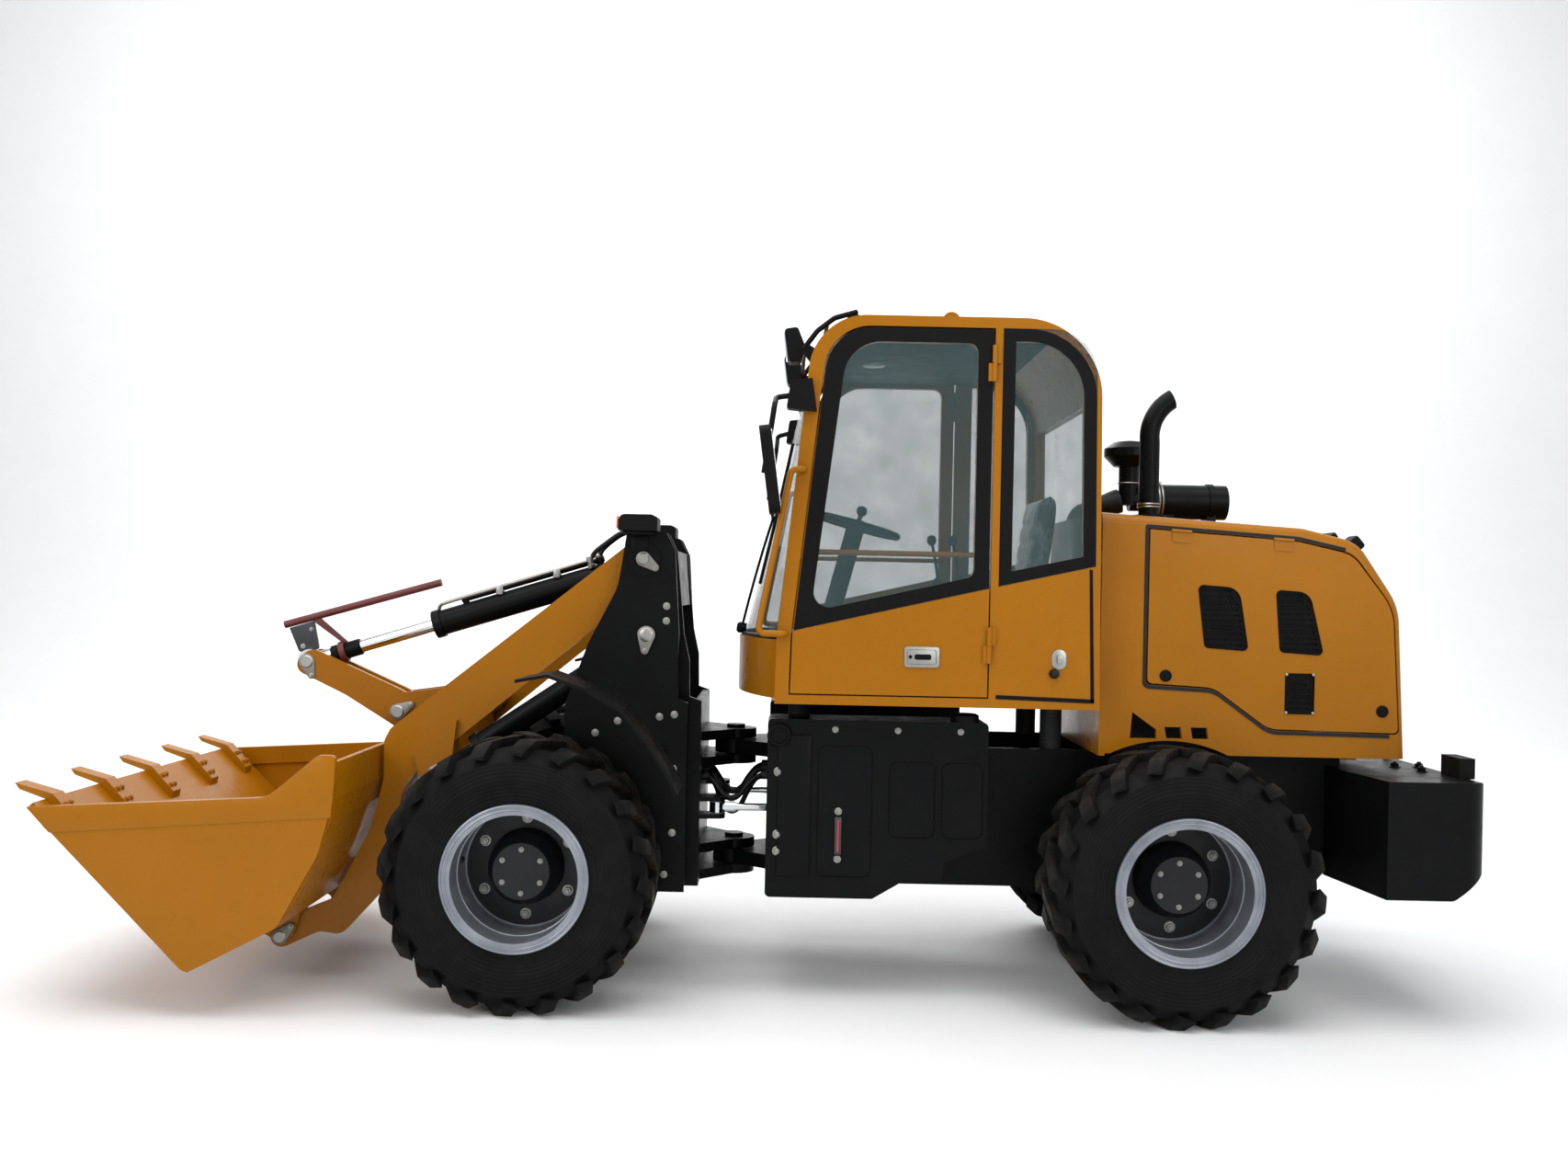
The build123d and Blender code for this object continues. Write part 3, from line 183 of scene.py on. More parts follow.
# %% [markdown]
# ## Painted and plain finishes
# The machine is sprayed in one warm yellow and one black, with chromed rods, zinc-plated
# bolts and bare rubber hoses. Each could be a photographed texture, but a procedural finish
# stays sharp at any distance and needs no unwrapping, so one function serves them all and
# only the numbers differ.

# %% Painted and plain finishes
YELLOW = srgb(157, 98, 2)
BLACK = srgb(11, 12, 13)
yellow = surface("yellow_paint", YELLOW, 0.30, coat=0.05, mottle=0.06, shine=0.16)
black = surface("black_paint", BLACK, 0.34, mottle=0.2, dust=0.008, dust_top=1.3, shine=0.08)
plastic = surface("black_plastic", srgb(12, 12, 13), 0.5, grain=900.0, relief=0.3, depth=0.0004,
                  dust=0.008, dust_top=1.5, shine=0.09)
trim = surface("cab_trim", srgb(30, 31, 33), 0.62, grain=700.0, relief=0.35, depth=0.0005, shine=0.3)
chrome = surface("chrome_rod", srgb(212, 214, 216), 0.09, metal=1.0, grain=500.0, relief=0.03, mottle=0.04)
steel = surface("zinc_steel", srgb(150, 150, 146), 0.34, metal=1.0, grain=300.0, relief=0.10, mottle=0.15)
iron = surface("cast_iron", srgb(52, 54, 56), 0.55, metal=0.6, grain=120.0, relief=0.5, depth=0.002)
red_primer = surface("indicator_red", srgb(88, 30, 26), 0.5, mottle=0.25)
keeper_zinc = surface("keeper_zinc", srgb(126, 125, 118), 0.42, metal=0.7, grain=260.0, mottle=0.2)
grey = surface("bracket_grey", srgb(52, 54, 58), 0.42, metal=0.3, mottle=0.2)
hose_rubber = surface("hose_rubber", srgb(12, 12, 13), 0.45, grain=1400.0, relief=0.5, depth=0.0006,
                      shine=0.25)


# %% [markdown]
# ## Tyre rubber and rim paint
# A tyre's sidewall has moulded rings and its lugs are scuffed pale where they touch the
# ground. On a rim the outer dish is silver and the disc behind is black. Both depend only
# on the distance from the axle, so the shader measures that distance and no mesh has to be
# cut into zones.

# %% Tyre rubber and rim paint
def axle_radius(n, axle_x):
    """Distance of a point from a wheel's axle."""
    centred = n.add("ShaderNodeVectorMath", operation="SUBTRACT")
    centred.inputs[1].default_value = (axle_x, 0.0, AXLE_Z)
    n.link(n.place, centred.inputs[0])
    flat = n.add("ShaderNodeVectorMath", operation="MULTIPLY")
    flat.inputs[1].default_value = (1.0, 0.0, 1.0)
    n.link(centred.outputs[0], flat.inputs[0])
    length = n.add("ShaderNodeVectorMath", operation="LENGTH")
    n.link(flat.outputs[0], length.inputs[0])
    return length.outputs["Value"]


def tyre_rubber(name, axle_x):
    """Dark rubber with moulded rings on the sidewall and paler, scuffed lugs."""
    n = Nodes(name)
    radius = axle_radius(n, axle_x)
    rings = n.math("SINE", n.math("MULTIPLY", radius, 420.0), 0.0)
    walls = n.math("MULTIPLY", n.ramp(radius, 0.30, 0.31), n.ramp(radius, 0.43, 0.44, 1.0, 0.0))
    worn = n.ramp(n.noise(18.0, 8.0, 0.7), 0.42, 0.7, 0.1, 0.75)
    scuffs = n.math("MULTIPLY", n.ramp(radius, 0.49, 0.525), worn)
    base = n.mix(n.ramp(n.noise(6.0, 6.0), 0.3, 0.7), srgb(13, 13, 14), srgb(20, 20, 21))
    grain = n.bump(n.noise(160.0, 3.0), 0.25, 0.0012)
    n.set(Base_Color=n.mix(scuffs, base, srgb(58, 55, 50)), Specular_IOR_Level=0.08,
          Roughness=n.ramp(n.noise(14.0, 6.0), 0.3, 0.75, 0.5, 0.8),
          Normal=n.bump(n.math("MULTIPLY", rings, walls), 0.5, 0.002, grain))
    return n.material


def rim_paint(name, axle_x):
    """Silver rim with a disc and hub in black."""
    n = Nodes(name)
    outer = n.ramp(axle_radius(n, axle_x), 0.2355, 0.2375)
    slow = n.ramp(n.noise(7.0, 6.0), 0.3, 0.7)
    silver = n.mix(slow, srgb(118, 122, 130), srgb(148, 152, 160))
    disc = n.mix(slow, srgb(17, 18, 20), srgb(30, 31, 34))
    n.set(Base_Color=n.mix(outer, disc, silver), Metallic=n.ramp(outer, 0.0, 1.0, 0.0, 0.6),
          Specular_IOR_Level=0.25, Roughness=n.ramp(n.noise(16.0, 5.0), 0.3, 0.75, 0.28, 0.46),
          Normal=n.bump(n.noise(240.0, 3.0), 0.1, 0.0005))
    return n.material


tyres = {"front": tyre_rubber("tyre_rubber_front", FRONT_X), "rear": tyre_rubber("tyre_rubber_rear", REAR_X)}
rims = {"front": rim_paint("rim_paint_front", FRONT_X), "rear": rim_paint("rim_paint_rear", REAR_X)}
print("wheels:", [m.name for m in (*tyres.values(), *rims.values())])


# %% [markdown]
# ## Glass and lenses
# Cab panes are thin tinted sheets. Full refraction would need solid panes with a true
# thickness and many light bounces, so the sheet is part transparent with a clear gloss,
# which also keeps the seat visible. Lamp lenses are moulded with ribs, made by a wave
# texture and a bump.

# %% Glass and lenses
def pane(name, colour, alpha):
    """Clear sheet glass with a faint tint and a film of dust."""
    n = Nodes(name)
    film = n.ramp(n.noise(5.0, 6.0), 0.35, 0.8, alpha * 0.85, alpha * 1.25)
    n.set(Base_Color=colour, Alpha=film, IOR=1.5, Specular_IOR_Level=0.3,
          Roughness=n.ramp(n.noise(30.0, 4.0), 0.3, 0.8, 0.02, 0.07))
    return n.material


def lens(name, colour, glow):
    """A moulded lamp lens with fine vertical ribs."""
    n = Nodes(name)
    ribs = n.add("ShaderNodeTexWave", bands_direction="Y")
    ribs.inputs["Scale"].default_value = 55.0
    n.link(n.place, ribs.inputs["Vector"])
    tint = n.mix(ribs.outputs["Fac"], shade(colour, 0.8), shade(colour, 1.15))
    n.set(Base_Color=tint, Roughness=n.ramp(n.noise(60.0), 0.3, 0.7, 0.06, 0.16), Coat_Weight=0.6,
          Normal=n.bump(ribs.outputs["Fac"], 0.35, 0.002), Emission_Color=colour, Emission_Strength=glow)
    return n.material


glass = pane("cab_glass", srgb(72, 96, 98), 0.30)
clear_lens = lens("lens_clear", srgb(214, 220, 222), 0.0)
amber_lens = lens("lens_amber", srgb(228, 104, 10), 0.05)
red_lens = lens("lens_red", srgb(160, 16, 14), 0.03)
print("clear:", [m.name for m in (glass, clear_lens, amber_lens, red_lens)])

# %% [markdown]
# ## Finishes of the CAD nodes
# Paint, rubber, chrome and glass lie on the CAD shapes themselves. Each node could be
# copied and refinished, but it keeps its shape and its place on a body, so it only takes a
# material.

# %% Assign the finishes
FINISH = {
    yellow: ["boom", "bucket", "bucket_teeth", "bellcrank", "bucket_link", "cab_sides", "cab_roof",
             "cab_front", "cab_rear", "door_left", "door_right", "hood", "hood_door_left",
             "hood_door_right", "grab_rails"],
    black: ["front_frame", "rear_frame", "counterweight", "side_tanks", "front_axle", "rear_axle",
            "tilt_barrel", "lift_barrel_left", "lift_barrel_right", "steer_barrel_left",
            "steer_barrel_right", "exhaust_stack", "air_cleaner"],
    plastic: ["front_fenders", "headlamps", "mirrors", "roof_lamps", "rear_lamps", "hood_grille_left",
              "hood_grille_right", "steering_wheel"],
    trim: ["cab_floor", "dash_console", "seat_base", "driver_seat"],
    tyres["front"]: ["tyre_front_left", "tyre_front_right"],
    tyres["rear"]: ["tyre_rear_left", "tyre_rear_right"],
    rims["front"]: ["rim_front_left", "rim_front_right"],
    rims["rear"]: ["rim_rear_left", "rim_rear_right"],
    chrome: ["tilt_rod", "lift_rod_left", "lift_rod_right", "steer_rod_left", "steer_rod_right"],
    iron: ["engine"],
    red_primer: ["level_indicator"],
    glass: ["cab_glass", "door_glass_left", "door_glass_right"],
}
for finish, names in FINISH.items():
    for node in names:
        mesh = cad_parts[node].data
        mesh.materials.clear()
        mesh.materials.append(finish)
    print(f"{finish.name}: {len(names)} nodes")

# %% [markdown]
# ## Making pieces
# Small parts are built as a bmesh, which is a mesh that can be edited in memory. Operators
# that act on a selection could do the same, but they depend on the state of the screen, so
# plain functions are safer in a script.


# %% Pieces and joins
def dressed(name, bm, finish, smooth):
    """Make an object of a bmesh and give it a finish."""
    bmesh.ops.recalc_face_normals(bm, faces=bm.faces)
    mesh = bpy.data.meshes.new(name)
    bm.to_mesh(mesh)
    bm.free()
    mesh.materials.append(finish)
    mesh.shade_smooth()
    mesh.set_sharp_from_angle(angle=radians(smooth))
    obj = bpy.data.objects.new(name, mesh)
    bpy.context.collection.objects.link(obj)
    return obj


def piece(name, bm, finish, body, smooth=35.0):
    """A dressed object that rides on a body."""
    obj = dressed(name, bm, finish, smooth)
    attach(obj, body)
    print(f"{name}: {len(obj.data.polygons)} faces, rides on {body}")
    return obj


def join(bm, part):
    """Add one bmesh to another."""
    mesh = bpy.data.meshes.new("part")
    part.to_mesh(mesh)
    part.free()
    bm.from_mesh(mesh)
    bpy.data.meshes.remove(mesh)


def towards(point, direction):
    """A place whose own Z axis points along a direction."""
    turn = Vector(direction).to_track_quat("Z", "Y").to_matrix().to_4x4()
    return Matrix.Translation(point) @ turn


# %% [markdown]
# ## Outlines and soft edges
# Sheet parts on a loader have rounded corners, and no real edge is perfectly sharp. A bevel
# modifier could round them later, but working the arcs into the outline keeps each radius
# exact, and a small bevel on the mesh is enough to catch the light.

# %% Outlines and soft edges
def rounded(corners, steps=5):
    """Corners given as (x, z, r) become short arcs."""
    points = []
    count = len(corners)
    for i, corner in enumerate(corners):
        here = Vector(corner[:2])
        if len(corner) < 3:
            points.append(tuple(here))
            continue
        to_last = (Vector(corners[i - 1][:2]) - here).normalized()
        to_next = (Vector(corners[(i + 1) % count][:2]) - here).normalized()
        half = to_last.angle(to_next) / 2
        back = corner[2] / tan(half)
        middle = here + (to_last + to_next).normalized() * corner[2] / sin(half)
        start, end = here + to_last * back - middle, here + to_next * back - middle
        for k in range(steps + 1):
            ray = start.lerp(end, k / steps).normalized() * corner[2]
            points.append(tuple(middle + ray))
    return points


def rounded_box(x0, x1, z0, z1, r):
    """The outline of a rectangle with rounded corners."""
    return rounded([(x0, z0, r), (x1, z0, r), (x1, z1, r), (x0, z1, r)])


def soften(part, width):
    if width:
        sharp = [e for e in part.edges if len(e.link_faces) == 2 and e.calc_face_angle(0) > 0.5]
        bmesh.ops.bevel(part, geom=sharp, offset=width, segments=2, affect="EDGES", profile=0.5)


# %% [markdown]
# ## Blocks and plates
# Brackets and lamps are blocks, and keepers, handles and frames are cut plates. A plate is
# drawn in side view and extruded along Y, the way it is cut from sheet steel, and an inset
# makes it into a frame.

# %% Blocks and plates
def add_block(bm, centre, size, bevel=0.003, turn=None):
    """A block with softened edges, turned about its centre if asked."""
    part = bmesh.new()
    bmesh.ops.create_cube(part, size=1.0)
    bmesh.ops.scale(part, vec=size, verts=part.verts)
    soften(part, bevel)
    part.transform(Matrix.Translation(centre) @ (turn or Matrix.Identity(4)))
    join(bm, part)


def add_plate(bm, corners, y0, y1, bevel=0.002, ring=0.0):
    """A side-view outline made solid between y0 and y1; ring keeps only a border of that width."""
    part = bmesh.new()
    face = part.faces.new([part.verts.new((x, y0, z)) for x, z in corners])
    if ring:
        bmesh.ops.inset_region(part, faces=[face], thickness=ring, use_even_offset=True, use_boundary=True)
        bmesh.ops.delete(part, geom=[face], context="FACES_ONLY")
    grown = bmesh.ops.extrude_face_region(part, geom=part.faces[:])
    moved = [v for v in grown["geom"] if isinstance(v, bmesh.types.BMVert)]
    bmesh.ops.translate(part, verts=moved, vec=(0, y1 - y0, 0))
    bmesh.ops.recalc_face_normals(part, faces=part.faces)
    soften(part, bevel)
    join(bm, part)


# %% [markdown]
# ## Turned parts, tubes and fittings
# Caps, pins and ferrules come off a lathe, so a profile is turned about an axis. Hoses and
# pipes bend smoothly between their ends, so a curve with a round bevel is turned into a
# mesh, which bends more evenly than joined cylinders.

# %% Turned parts, tubes and fittings
def add_turned(bm, profile, place, steps=28):
    """A profile of (radius, height) pairs turned about the Z axis of a place, with closed ends."""
    part = bmesh.new()
    rings = [[part.verts.new((r * cos(2 * pi * i / steps), r * sin(2 * pi * i / steps), h))
              for i in range(steps)] for r, h in profile]
    for low, high in zip(rings, rings[1:]):
        for i in range(steps):
            k = (i + 1) % steps
            part.faces.new((low[i], low[k], high[k], high[i]))
    part.faces.new(rings[0])
    part.faces.new(rings[-1])
    part.transform(place)
    join(bm, part)


def add_tube(bm, points, radius):
    """A round tube on a smooth spline that has the points as its control points."""
    curve = bpy.data.curves.new("route", "CURVE")
    curve.dimensions = "3D"
    spline = curve.splines.new("NURBS")
    spline.points.add(len(points) - 1)
    for point, place in zip(spline.points, points):
        point.co = (*place, 1.0)
    spline.order_u = 3
    spline.use_endpoint_u = True
    curve.bevel_depth = radius
    curve.bevel_resolution = 2
    curve.resolution_u = 8
    curve.use_fill_caps = True
    holder = bpy.data.objects.new("route", curve)
    bpy.context.collection.objects.link(holder)
    mesh = bpy.data.meshes.new_from_object(holder)
    bm.from_mesh(mesh)
    bpy.data.objects.remove(holder)
    bpy.data.curves.remove(curve)
    bpy.data.meshes.remove(mesh)


def add_fitting(bm, end, along, radius):
    """The crimped ferrule and hexagon nut at the end of a hose."""
    place = towards(end, along)
    add_turned(bm, [(radius * 1.3, 0.0), (radius * 1.42, 0.004), (radius * 1.42, radius * 3.0),
                    (radius * 1.2, radius * 3.3)], place, 18)
    add_turned(bm, [(radius * 1.6, -radius * 1.6), (radius * 1.7, -radius * 1.4), (radius * 1.7, 0.0),
                    (radius * 1.5, radius * 0.15)], place, 6)


# %% [markdown]
# ## Copies on points
# A loader has many equal bolts, and a perforated sheet has hundreds of equal holes. Array
# modifiers only repeat along lines, so Geometry Nodes sets one copy on each point of a
# small point mesh, turns it by an attribute and makes the copies real.

# %% Copies on points
def copier():
    """A node group that sets a copy of an object on every point, faced and sized by attributes."""
    group = bpy.data.node_groups.new("copies_on_points", "GeometryNodeTree")
    for name, kind in (("Points", "Geometry"), ("Copy", "Object"), ("Finish", "Material")):
        group.interface.new_socket(name, in_out="INPUT", socket_type="NodeSocket" + kind)
    group.interface.new_socket("Result", in_out="OUTPUT", socket_type="NodeSocketGeometry")
    new, link = group.nodes.new, group.links.new
    source, result = new("NodeGroupInput"), new("NodeGroupOutput")
    info, turn = new("GeometryNodeObjectInfo"), new("FunctionNodeAlignRotationToVector")
    facing, size = new("GeometryNodeInputNamedAttribute"), new("GeometryNodeInputNamedAttribute")
    copies, real = new("GeometryNodeInstanceOnPoints"), new("GeometryNodeRealizeInstances")
    paint = new("GeometryNodeSetMaterial")
    facing.data_type = "FLOAT_VECTOR"
    facing.inputs["Name"].default_value = "facing"
    size.inputs["Name"].default_value = "size"
    turn.axis = "Z"
    link(source.outputs["Points"], copies.inputs["Points"])
    link(source.outputs["Copy"], info.inputs["Object"])
    link(source.outputs["Finish"], paint.inputs["Material"])
    link(info.outputs["Geometry"], copies.inputs["Instance"])
    link(facing.outputs["Attribute"], turn.inputs["Vector"])
    link(turn.outputs["Rotation"], copies.inputs["Rotation"])
    link(size.outputs["Attribute"], copies.inputs["Scale"])
    link(copies.outputs["Instances"], real.inputs["Geometry"])
    link(real.outputs["Geometry"], paint.inputs["Geometry"])
    link(paint.outputs["Geometry"], result.inputs["Result"])
    return group


COPIER = copier()


def copies(name, pattern, spots, finish, body, slot):
    """Set a pattern object on spots given as (point, direction, size)."""
    points = bpy.data.meshes.new(name + "_points")
    points.from_pydata([tuple(s[0]) for s in spots], [], [])
    points.attributes.new("facing", "FLOAT_VECTOR", "POINT")
    points.attributes.new("size", "FLOAT", "POINT")
    points.attributes["facing"].data.foreach_set("vector", [c for s in spots for c in s[1]])
    points.attributes["size"].data.foreach_set("value", [s[2] for s in spots])
    holder = bpy.data.objects.new(name + "_points", points)
    bpy.context.collection.objects.link(holder)
    modifier = holder.modifiers.new("copies", "NODES")
    modifier.node_group = COPIER
    sockets = {s.name: s.identifier for s in COPIER.interface.items_tree if s.in_out == "INPUT"}
    modifier[sockets["Copy"]] = pattern
    modifier[sockets["Finish"]] = finish
    bpy.context.view_layer.update()
    ready = holder.evaluated_get(bpy.context.evaluated_depsgraph_get())
    mesh = bpy.data.meshes.new_from_object(ready)
    mesh.name = name
    mesh.set_sharp_from_angle(angle=radians(30))
    bpy.data.objects.remove(holder)
    obj = bpy.data.objects.new(name, mesh)
    bpy.context.collection.objects.link(obj)
    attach(obj, body)
    print(f"{name}: {len(spots)} copies, {len(mesh.polygons)} faces, rides on {body}")
    return obj


def pattern(name, bm):
    """An object kept out of the scene, only there to be copied."""
    bmesh.ops.recalc_face_normals(bm, faces=bm.faces)
    mesh = bpy.data.meshes.new(name)
    bm.to_mesh(mesh)
    bm.free()
    mesh.shade_smooth()
    return bpy.data.objects.new(name, mesh)


# %% [markdown]
# ## Patterns to copy
# Three things repeat: a hexagon bolt on its washer, a round screw head, and one hexagonal
# cell of perforated sheet with a round hole. Each is made once at a size of one, so the
# size attribute sets its width.

# %% Patterns to copy
bolt_mesh = bmesh.new()
origin = Matrix.Identity(4)
add_turned(bolt_mesh, [(0.5, -0.05), (0.5, 0.06), (0.46, 0.09)], origin, 18)
add_turned(bolt_mesh, [(0.36, 0.09), (0.36, 0.33), (0.30, 0.38)], origin, 6)
add_turned(bolt_mesh, [(0.17, 0.38), (0.17, 0.48), (0.14, 0.52)], origin, 10)
BOLT = pattern("bolt_pattern", bolt_mesh)

screw_mesh = bmesh.new()
add_turned(screw_mesh, [(0.5, -0.05), (0.5, 0.06), (0.40, 0.20), (0.22, 0.26)], origin, 14)
SCREW = pattern("screw_pattern", screw_mesh)

cell_mesh = bmesh.new()
outer_ring = [cell_mesh.verts.new((0.5774 * cos(pi * (i // 2) / 3), 0.5774 * sin(pi * (i // 2) / 3), 0.0))
              if i % 2 == 0 else cell_mesh.verts.new((0.5 * cos(pi * i / 6), 0.5 * sin(pi * i / 6), 0.0))
              for i in range(12)]
hole_ring = [cell_mesh.verts.new((0.34 * cos(pi * i / 6), 0.34 * sin(pi * i / 6), 0.0)) for i in range(12)]
back_ring = [cell_mesh.verts.new((0.34 * cos(pi * i / 6), 0.34 * sin(pi * i / 6), -0.16)) for i in range(12)]
for i in range(12):
    k = (i + 1) % 12
    cell_mesh.faces.new((outer_ring[i], outer_ring[k], hole_ring[k], hole_ring[i]))
    cell_mesh.faces.new((hole_ring[i], hole_ring[k], back_ring[k], back_ring[i]))
CELL = pattern("mesh_cell_pattern", cell_mesh)

# %% [markdown]
# ## Wheel nuts, hub bolts and valves
# Six nuts hold each wheel, small bolts close the hub, a valve stem comes out of the well
# and beads ring the rim. The nuts are copies on two circles. The beads are hoops of real
# geometry, since their thin highlights show even from afar.

# %% Wheel nuts, hub bolts and valves
def add_hoop(bm, radius, thick, place, steps=40, sides=8):
    """A round bead bent into a circle about the Z axis of a place."""
    part = bmesh.new()
    rings = []
    for i in range(steps):
        a = 2 * pi * i / steps
        ring = []
        for k in range(sides):
            b = 2 * pi * k / sides
            r = radius + thick * cos(b)
            ring.append(part.verts.new((r * cos(a), r * sin(a), thick * sin(b))))
        rings.append(ring)
    for i in range(steps):
        for k in range(sides):
            m, n = rings[(i + 1) % steps], (k + 1) % sides
            part.faces.new((rings[i][k], m[k], m[n], rings[i][n]))
    part.transform(place)
    join(bm, part)


DISC_Y = 0.620           # outer face of the wheel disc
NUT_CIRCLE = 0.190
NUT_SIZE = 0.046
HUB_Y = 0.750
HUB_CIRCLE = 0.085
HUB_BOLT_SIZE = 0.022
VALVE = [(0.238, 0.700), (0.226, 0.725), (0.222, 0.775)]     # out from the axle, and along it
VALVE_RISE = 0.04
VALVE_R = 0.006
RIM_BEADS = [(0.278, 0.9045, 0.005), (0.262, 0.9045, 0.004), (0.2415, 0.78, 0.004)]
for end, axle_x in (("front", FRONT_X), ("rear", REAR_X)):
    for side, way in SIDES:
        body = f"wheel_{end}_{side}"
        out = (0, way, 0)
        spots = []
        for i in range(6):
            a = radians(60 * i + 30)
            for circle, y, size in ((NUT_CIRCLE, DISC_Y, NUT_SIZE), (HUB_CIRCLE, HUB_Y, HUB_BOLT_SIZE)):
                spots.append(((axle_x + circle * cos(a), way * y, AXLE_Z + circle * sin(a)), out, size))
        copies(f"wheel_nuts_{end}_{side}", BOLT, spots, steel, body, "silver_paint")
        bm = bmesh.new()
        add_tube(bm, [(axle_x + x, way * y, AXLE_Z + VALVE_RISE) for x, y in VALVE], VALVE_R)
        piece(f"valve_{end}_{side}", bm, hose_rubber, body)
        bm = bmesh.new()
        for radius, y, thick in RIM_BEADS:
            add_hoop(bm, radius, thick, towards((axle_x, way * y, AXLE_Z), out), 56)
        piece(f"rim_beads_{end}_{side}", bm, rims[end], body)

# %% [markdown]
# ## Window bands and seals
# The side panes are bonded on, with a black band printed along their edges. The band could
# be painted by the shader, but its inner corners are rounded and uneven in width, so it is
# a very thin sheet filled between two outlines.

# %% Window bands and seals
def rear_mm(points):
    """Side-view points in millimetres from the rear axle, in metres in the frame."""
    return [(REAR_X + p[0] / 1000, p[1] / 1000) + tuple(r / 1000 for r in p[2:]) for p in points]


def front_mm(x, z):
    return (FRONT_X + x / 1000, z / 1000)


def sill_z(x):
    return 1463 + (1579 - x) * 0.2349


def add_band(bm, outer, inner, y0, y1):
    """The flat band between two side-view outlines, made solid between y0 and y1."""
    part = bmesh.new()
    edges = []
    for loop in (outer, inner):
        verts = [part.verts.new((x, y0, z)) for x, z in loop]
        edges += [part.edges.new((verts[i - 1], verts[i])) for i in range(len(verts))]
    bmesh.ops.triangle_fill(part, use_beauty=True, edges=edges)
    grown = bmesh.ops.extrude_face_region(part, geom=part.faces[:])
    moved = [v for v in grown["geom"] if isinstance(v, bmesh.types.BMVert)]
    bmesh.ops.translate(part, verts=moved, vec=(0, y1 - y0, 0))
    join(bm, part)


PANE_Y = 0.680
door_edge = [(1514, sill_z(1518) + 2), (1392, 2674, 185), (751, 2674), (751, sill_z(750) + 2)]
door_clear = [(1448, sill_z(1448) + 60, 60), (1322, 2619, 150), (810, 2619, 40), (810, sill_z(810) + 60, 40)]
quarter_edge = [(713, sill_z(714) + 2), (713, 2679), (346, 2679, 270), (334, sill_z(345) + 2)]
quarter_clear = [(664, sill_z(664) + 50), (664, 2630), (395, 2630, 220), (383, sill_z(395) + 50)]
for side, way in SIDES:
    y = way * PANE_Y
    bm = bmesh.new()
    add_band(bm, rounded(rear_mm(door_edge), 8), rounded(rear_mm(door_clear), 8), y, y + way * 0.0012)
    piece(f"door_glass_band_{side}", bm, plastic, f"door_{side}")
    bm = bmesh.new()
    add_band(bm, rounded(rear_mm(quarter_edge), 10), rounded(rear_mm(quarter_clear), 10), y, y + way * 0.0012)
    line = rear_mm([(716, 1226), (330, 1216), (330, 1232), (716, 1242)])
    add_plate(bm, line, y, y + way * 0.002, 0.0)
    line = rear_mm([(344, 1222), (330, 1222), (346, 1740), (358, 1740)])
    add_plate(bm, line, y, y + way * 0.002, 0.0)
    piece(f"quarter_seal_{side}", bm, plastic, "rear_frame")

# %% [markdown]
# ## Windscreen seal and wiper
# The windscreen bows forward, so its rubber seal and the wiper have to follow a curved
# face. One function says where that face lies, and tubes are laid on the points it gives.

# %% Windscreen seal and wiper
SCREEN_HALF = 0.640


def screen_x(y, z):
    """Where the outer face of the bowed windscreen lies."""
    t = (z - 1.440) / 1.010
    bow = 1 - (y / SCREEN_HALF) ** 2
    return REAR_X + 1.567 - 0.1037 * t + (0.160 - 0.130 * t) * bow


bm = bmesh.new()
for z in (1.446, 2.444):
    add_tube(bm, [(screen_x(k * 0.08, z) + 0.002, k * 0.08, z) for k in range(-8, 9)], 0.011)
for y in (-0.634, 0.634):
    add_tube(bm, [(screen_x(y, z) + 0.003, y, z) for z in (1.446, 1.8, 2.1, 2.444)], 0.010)
piece("windscreen_seal", bm, hose_rubber, "rear_frame")

bm = bmesh.new()
pivot = (screen_x(0.12, 1.47) + 0.018, 0.12, 1.47)
elbow = (screen_x(0.25, 1.72) + 0.030, 0.25, 1.72)
reach = (screen_x(0.36, 1.94) + 0.022, 0.36, 1.94)
add_turned(bm, [(0.022, -0.02), (0.024, 0.012), (0.016, 0.022)], towards(pivot, (1, 0, 0.1)), 18)
add_tube(bm, [pivot, elbow, reach], 0.006)
BLADE = [(0.31, 1.66), (0.345, 1.86), (0.375, 2.06), (0.40, 2.24)]
add_tube(bm, [(screen_x(y, z) + 0.010, y, z) for y, z in BLADE], 0.007)
piece("wiper", bm, plastic, "rear_frame")

# %% [markdown]
# ## Door handles, catches and inside bars
# A zinc handle plate with a paddle and a lock opens the door, a catch and a rubber buffer
# on the cab hold it open, and a yellow bar runs across the inside. They are separate pieces
# because some move with the door and some stay on the cab.

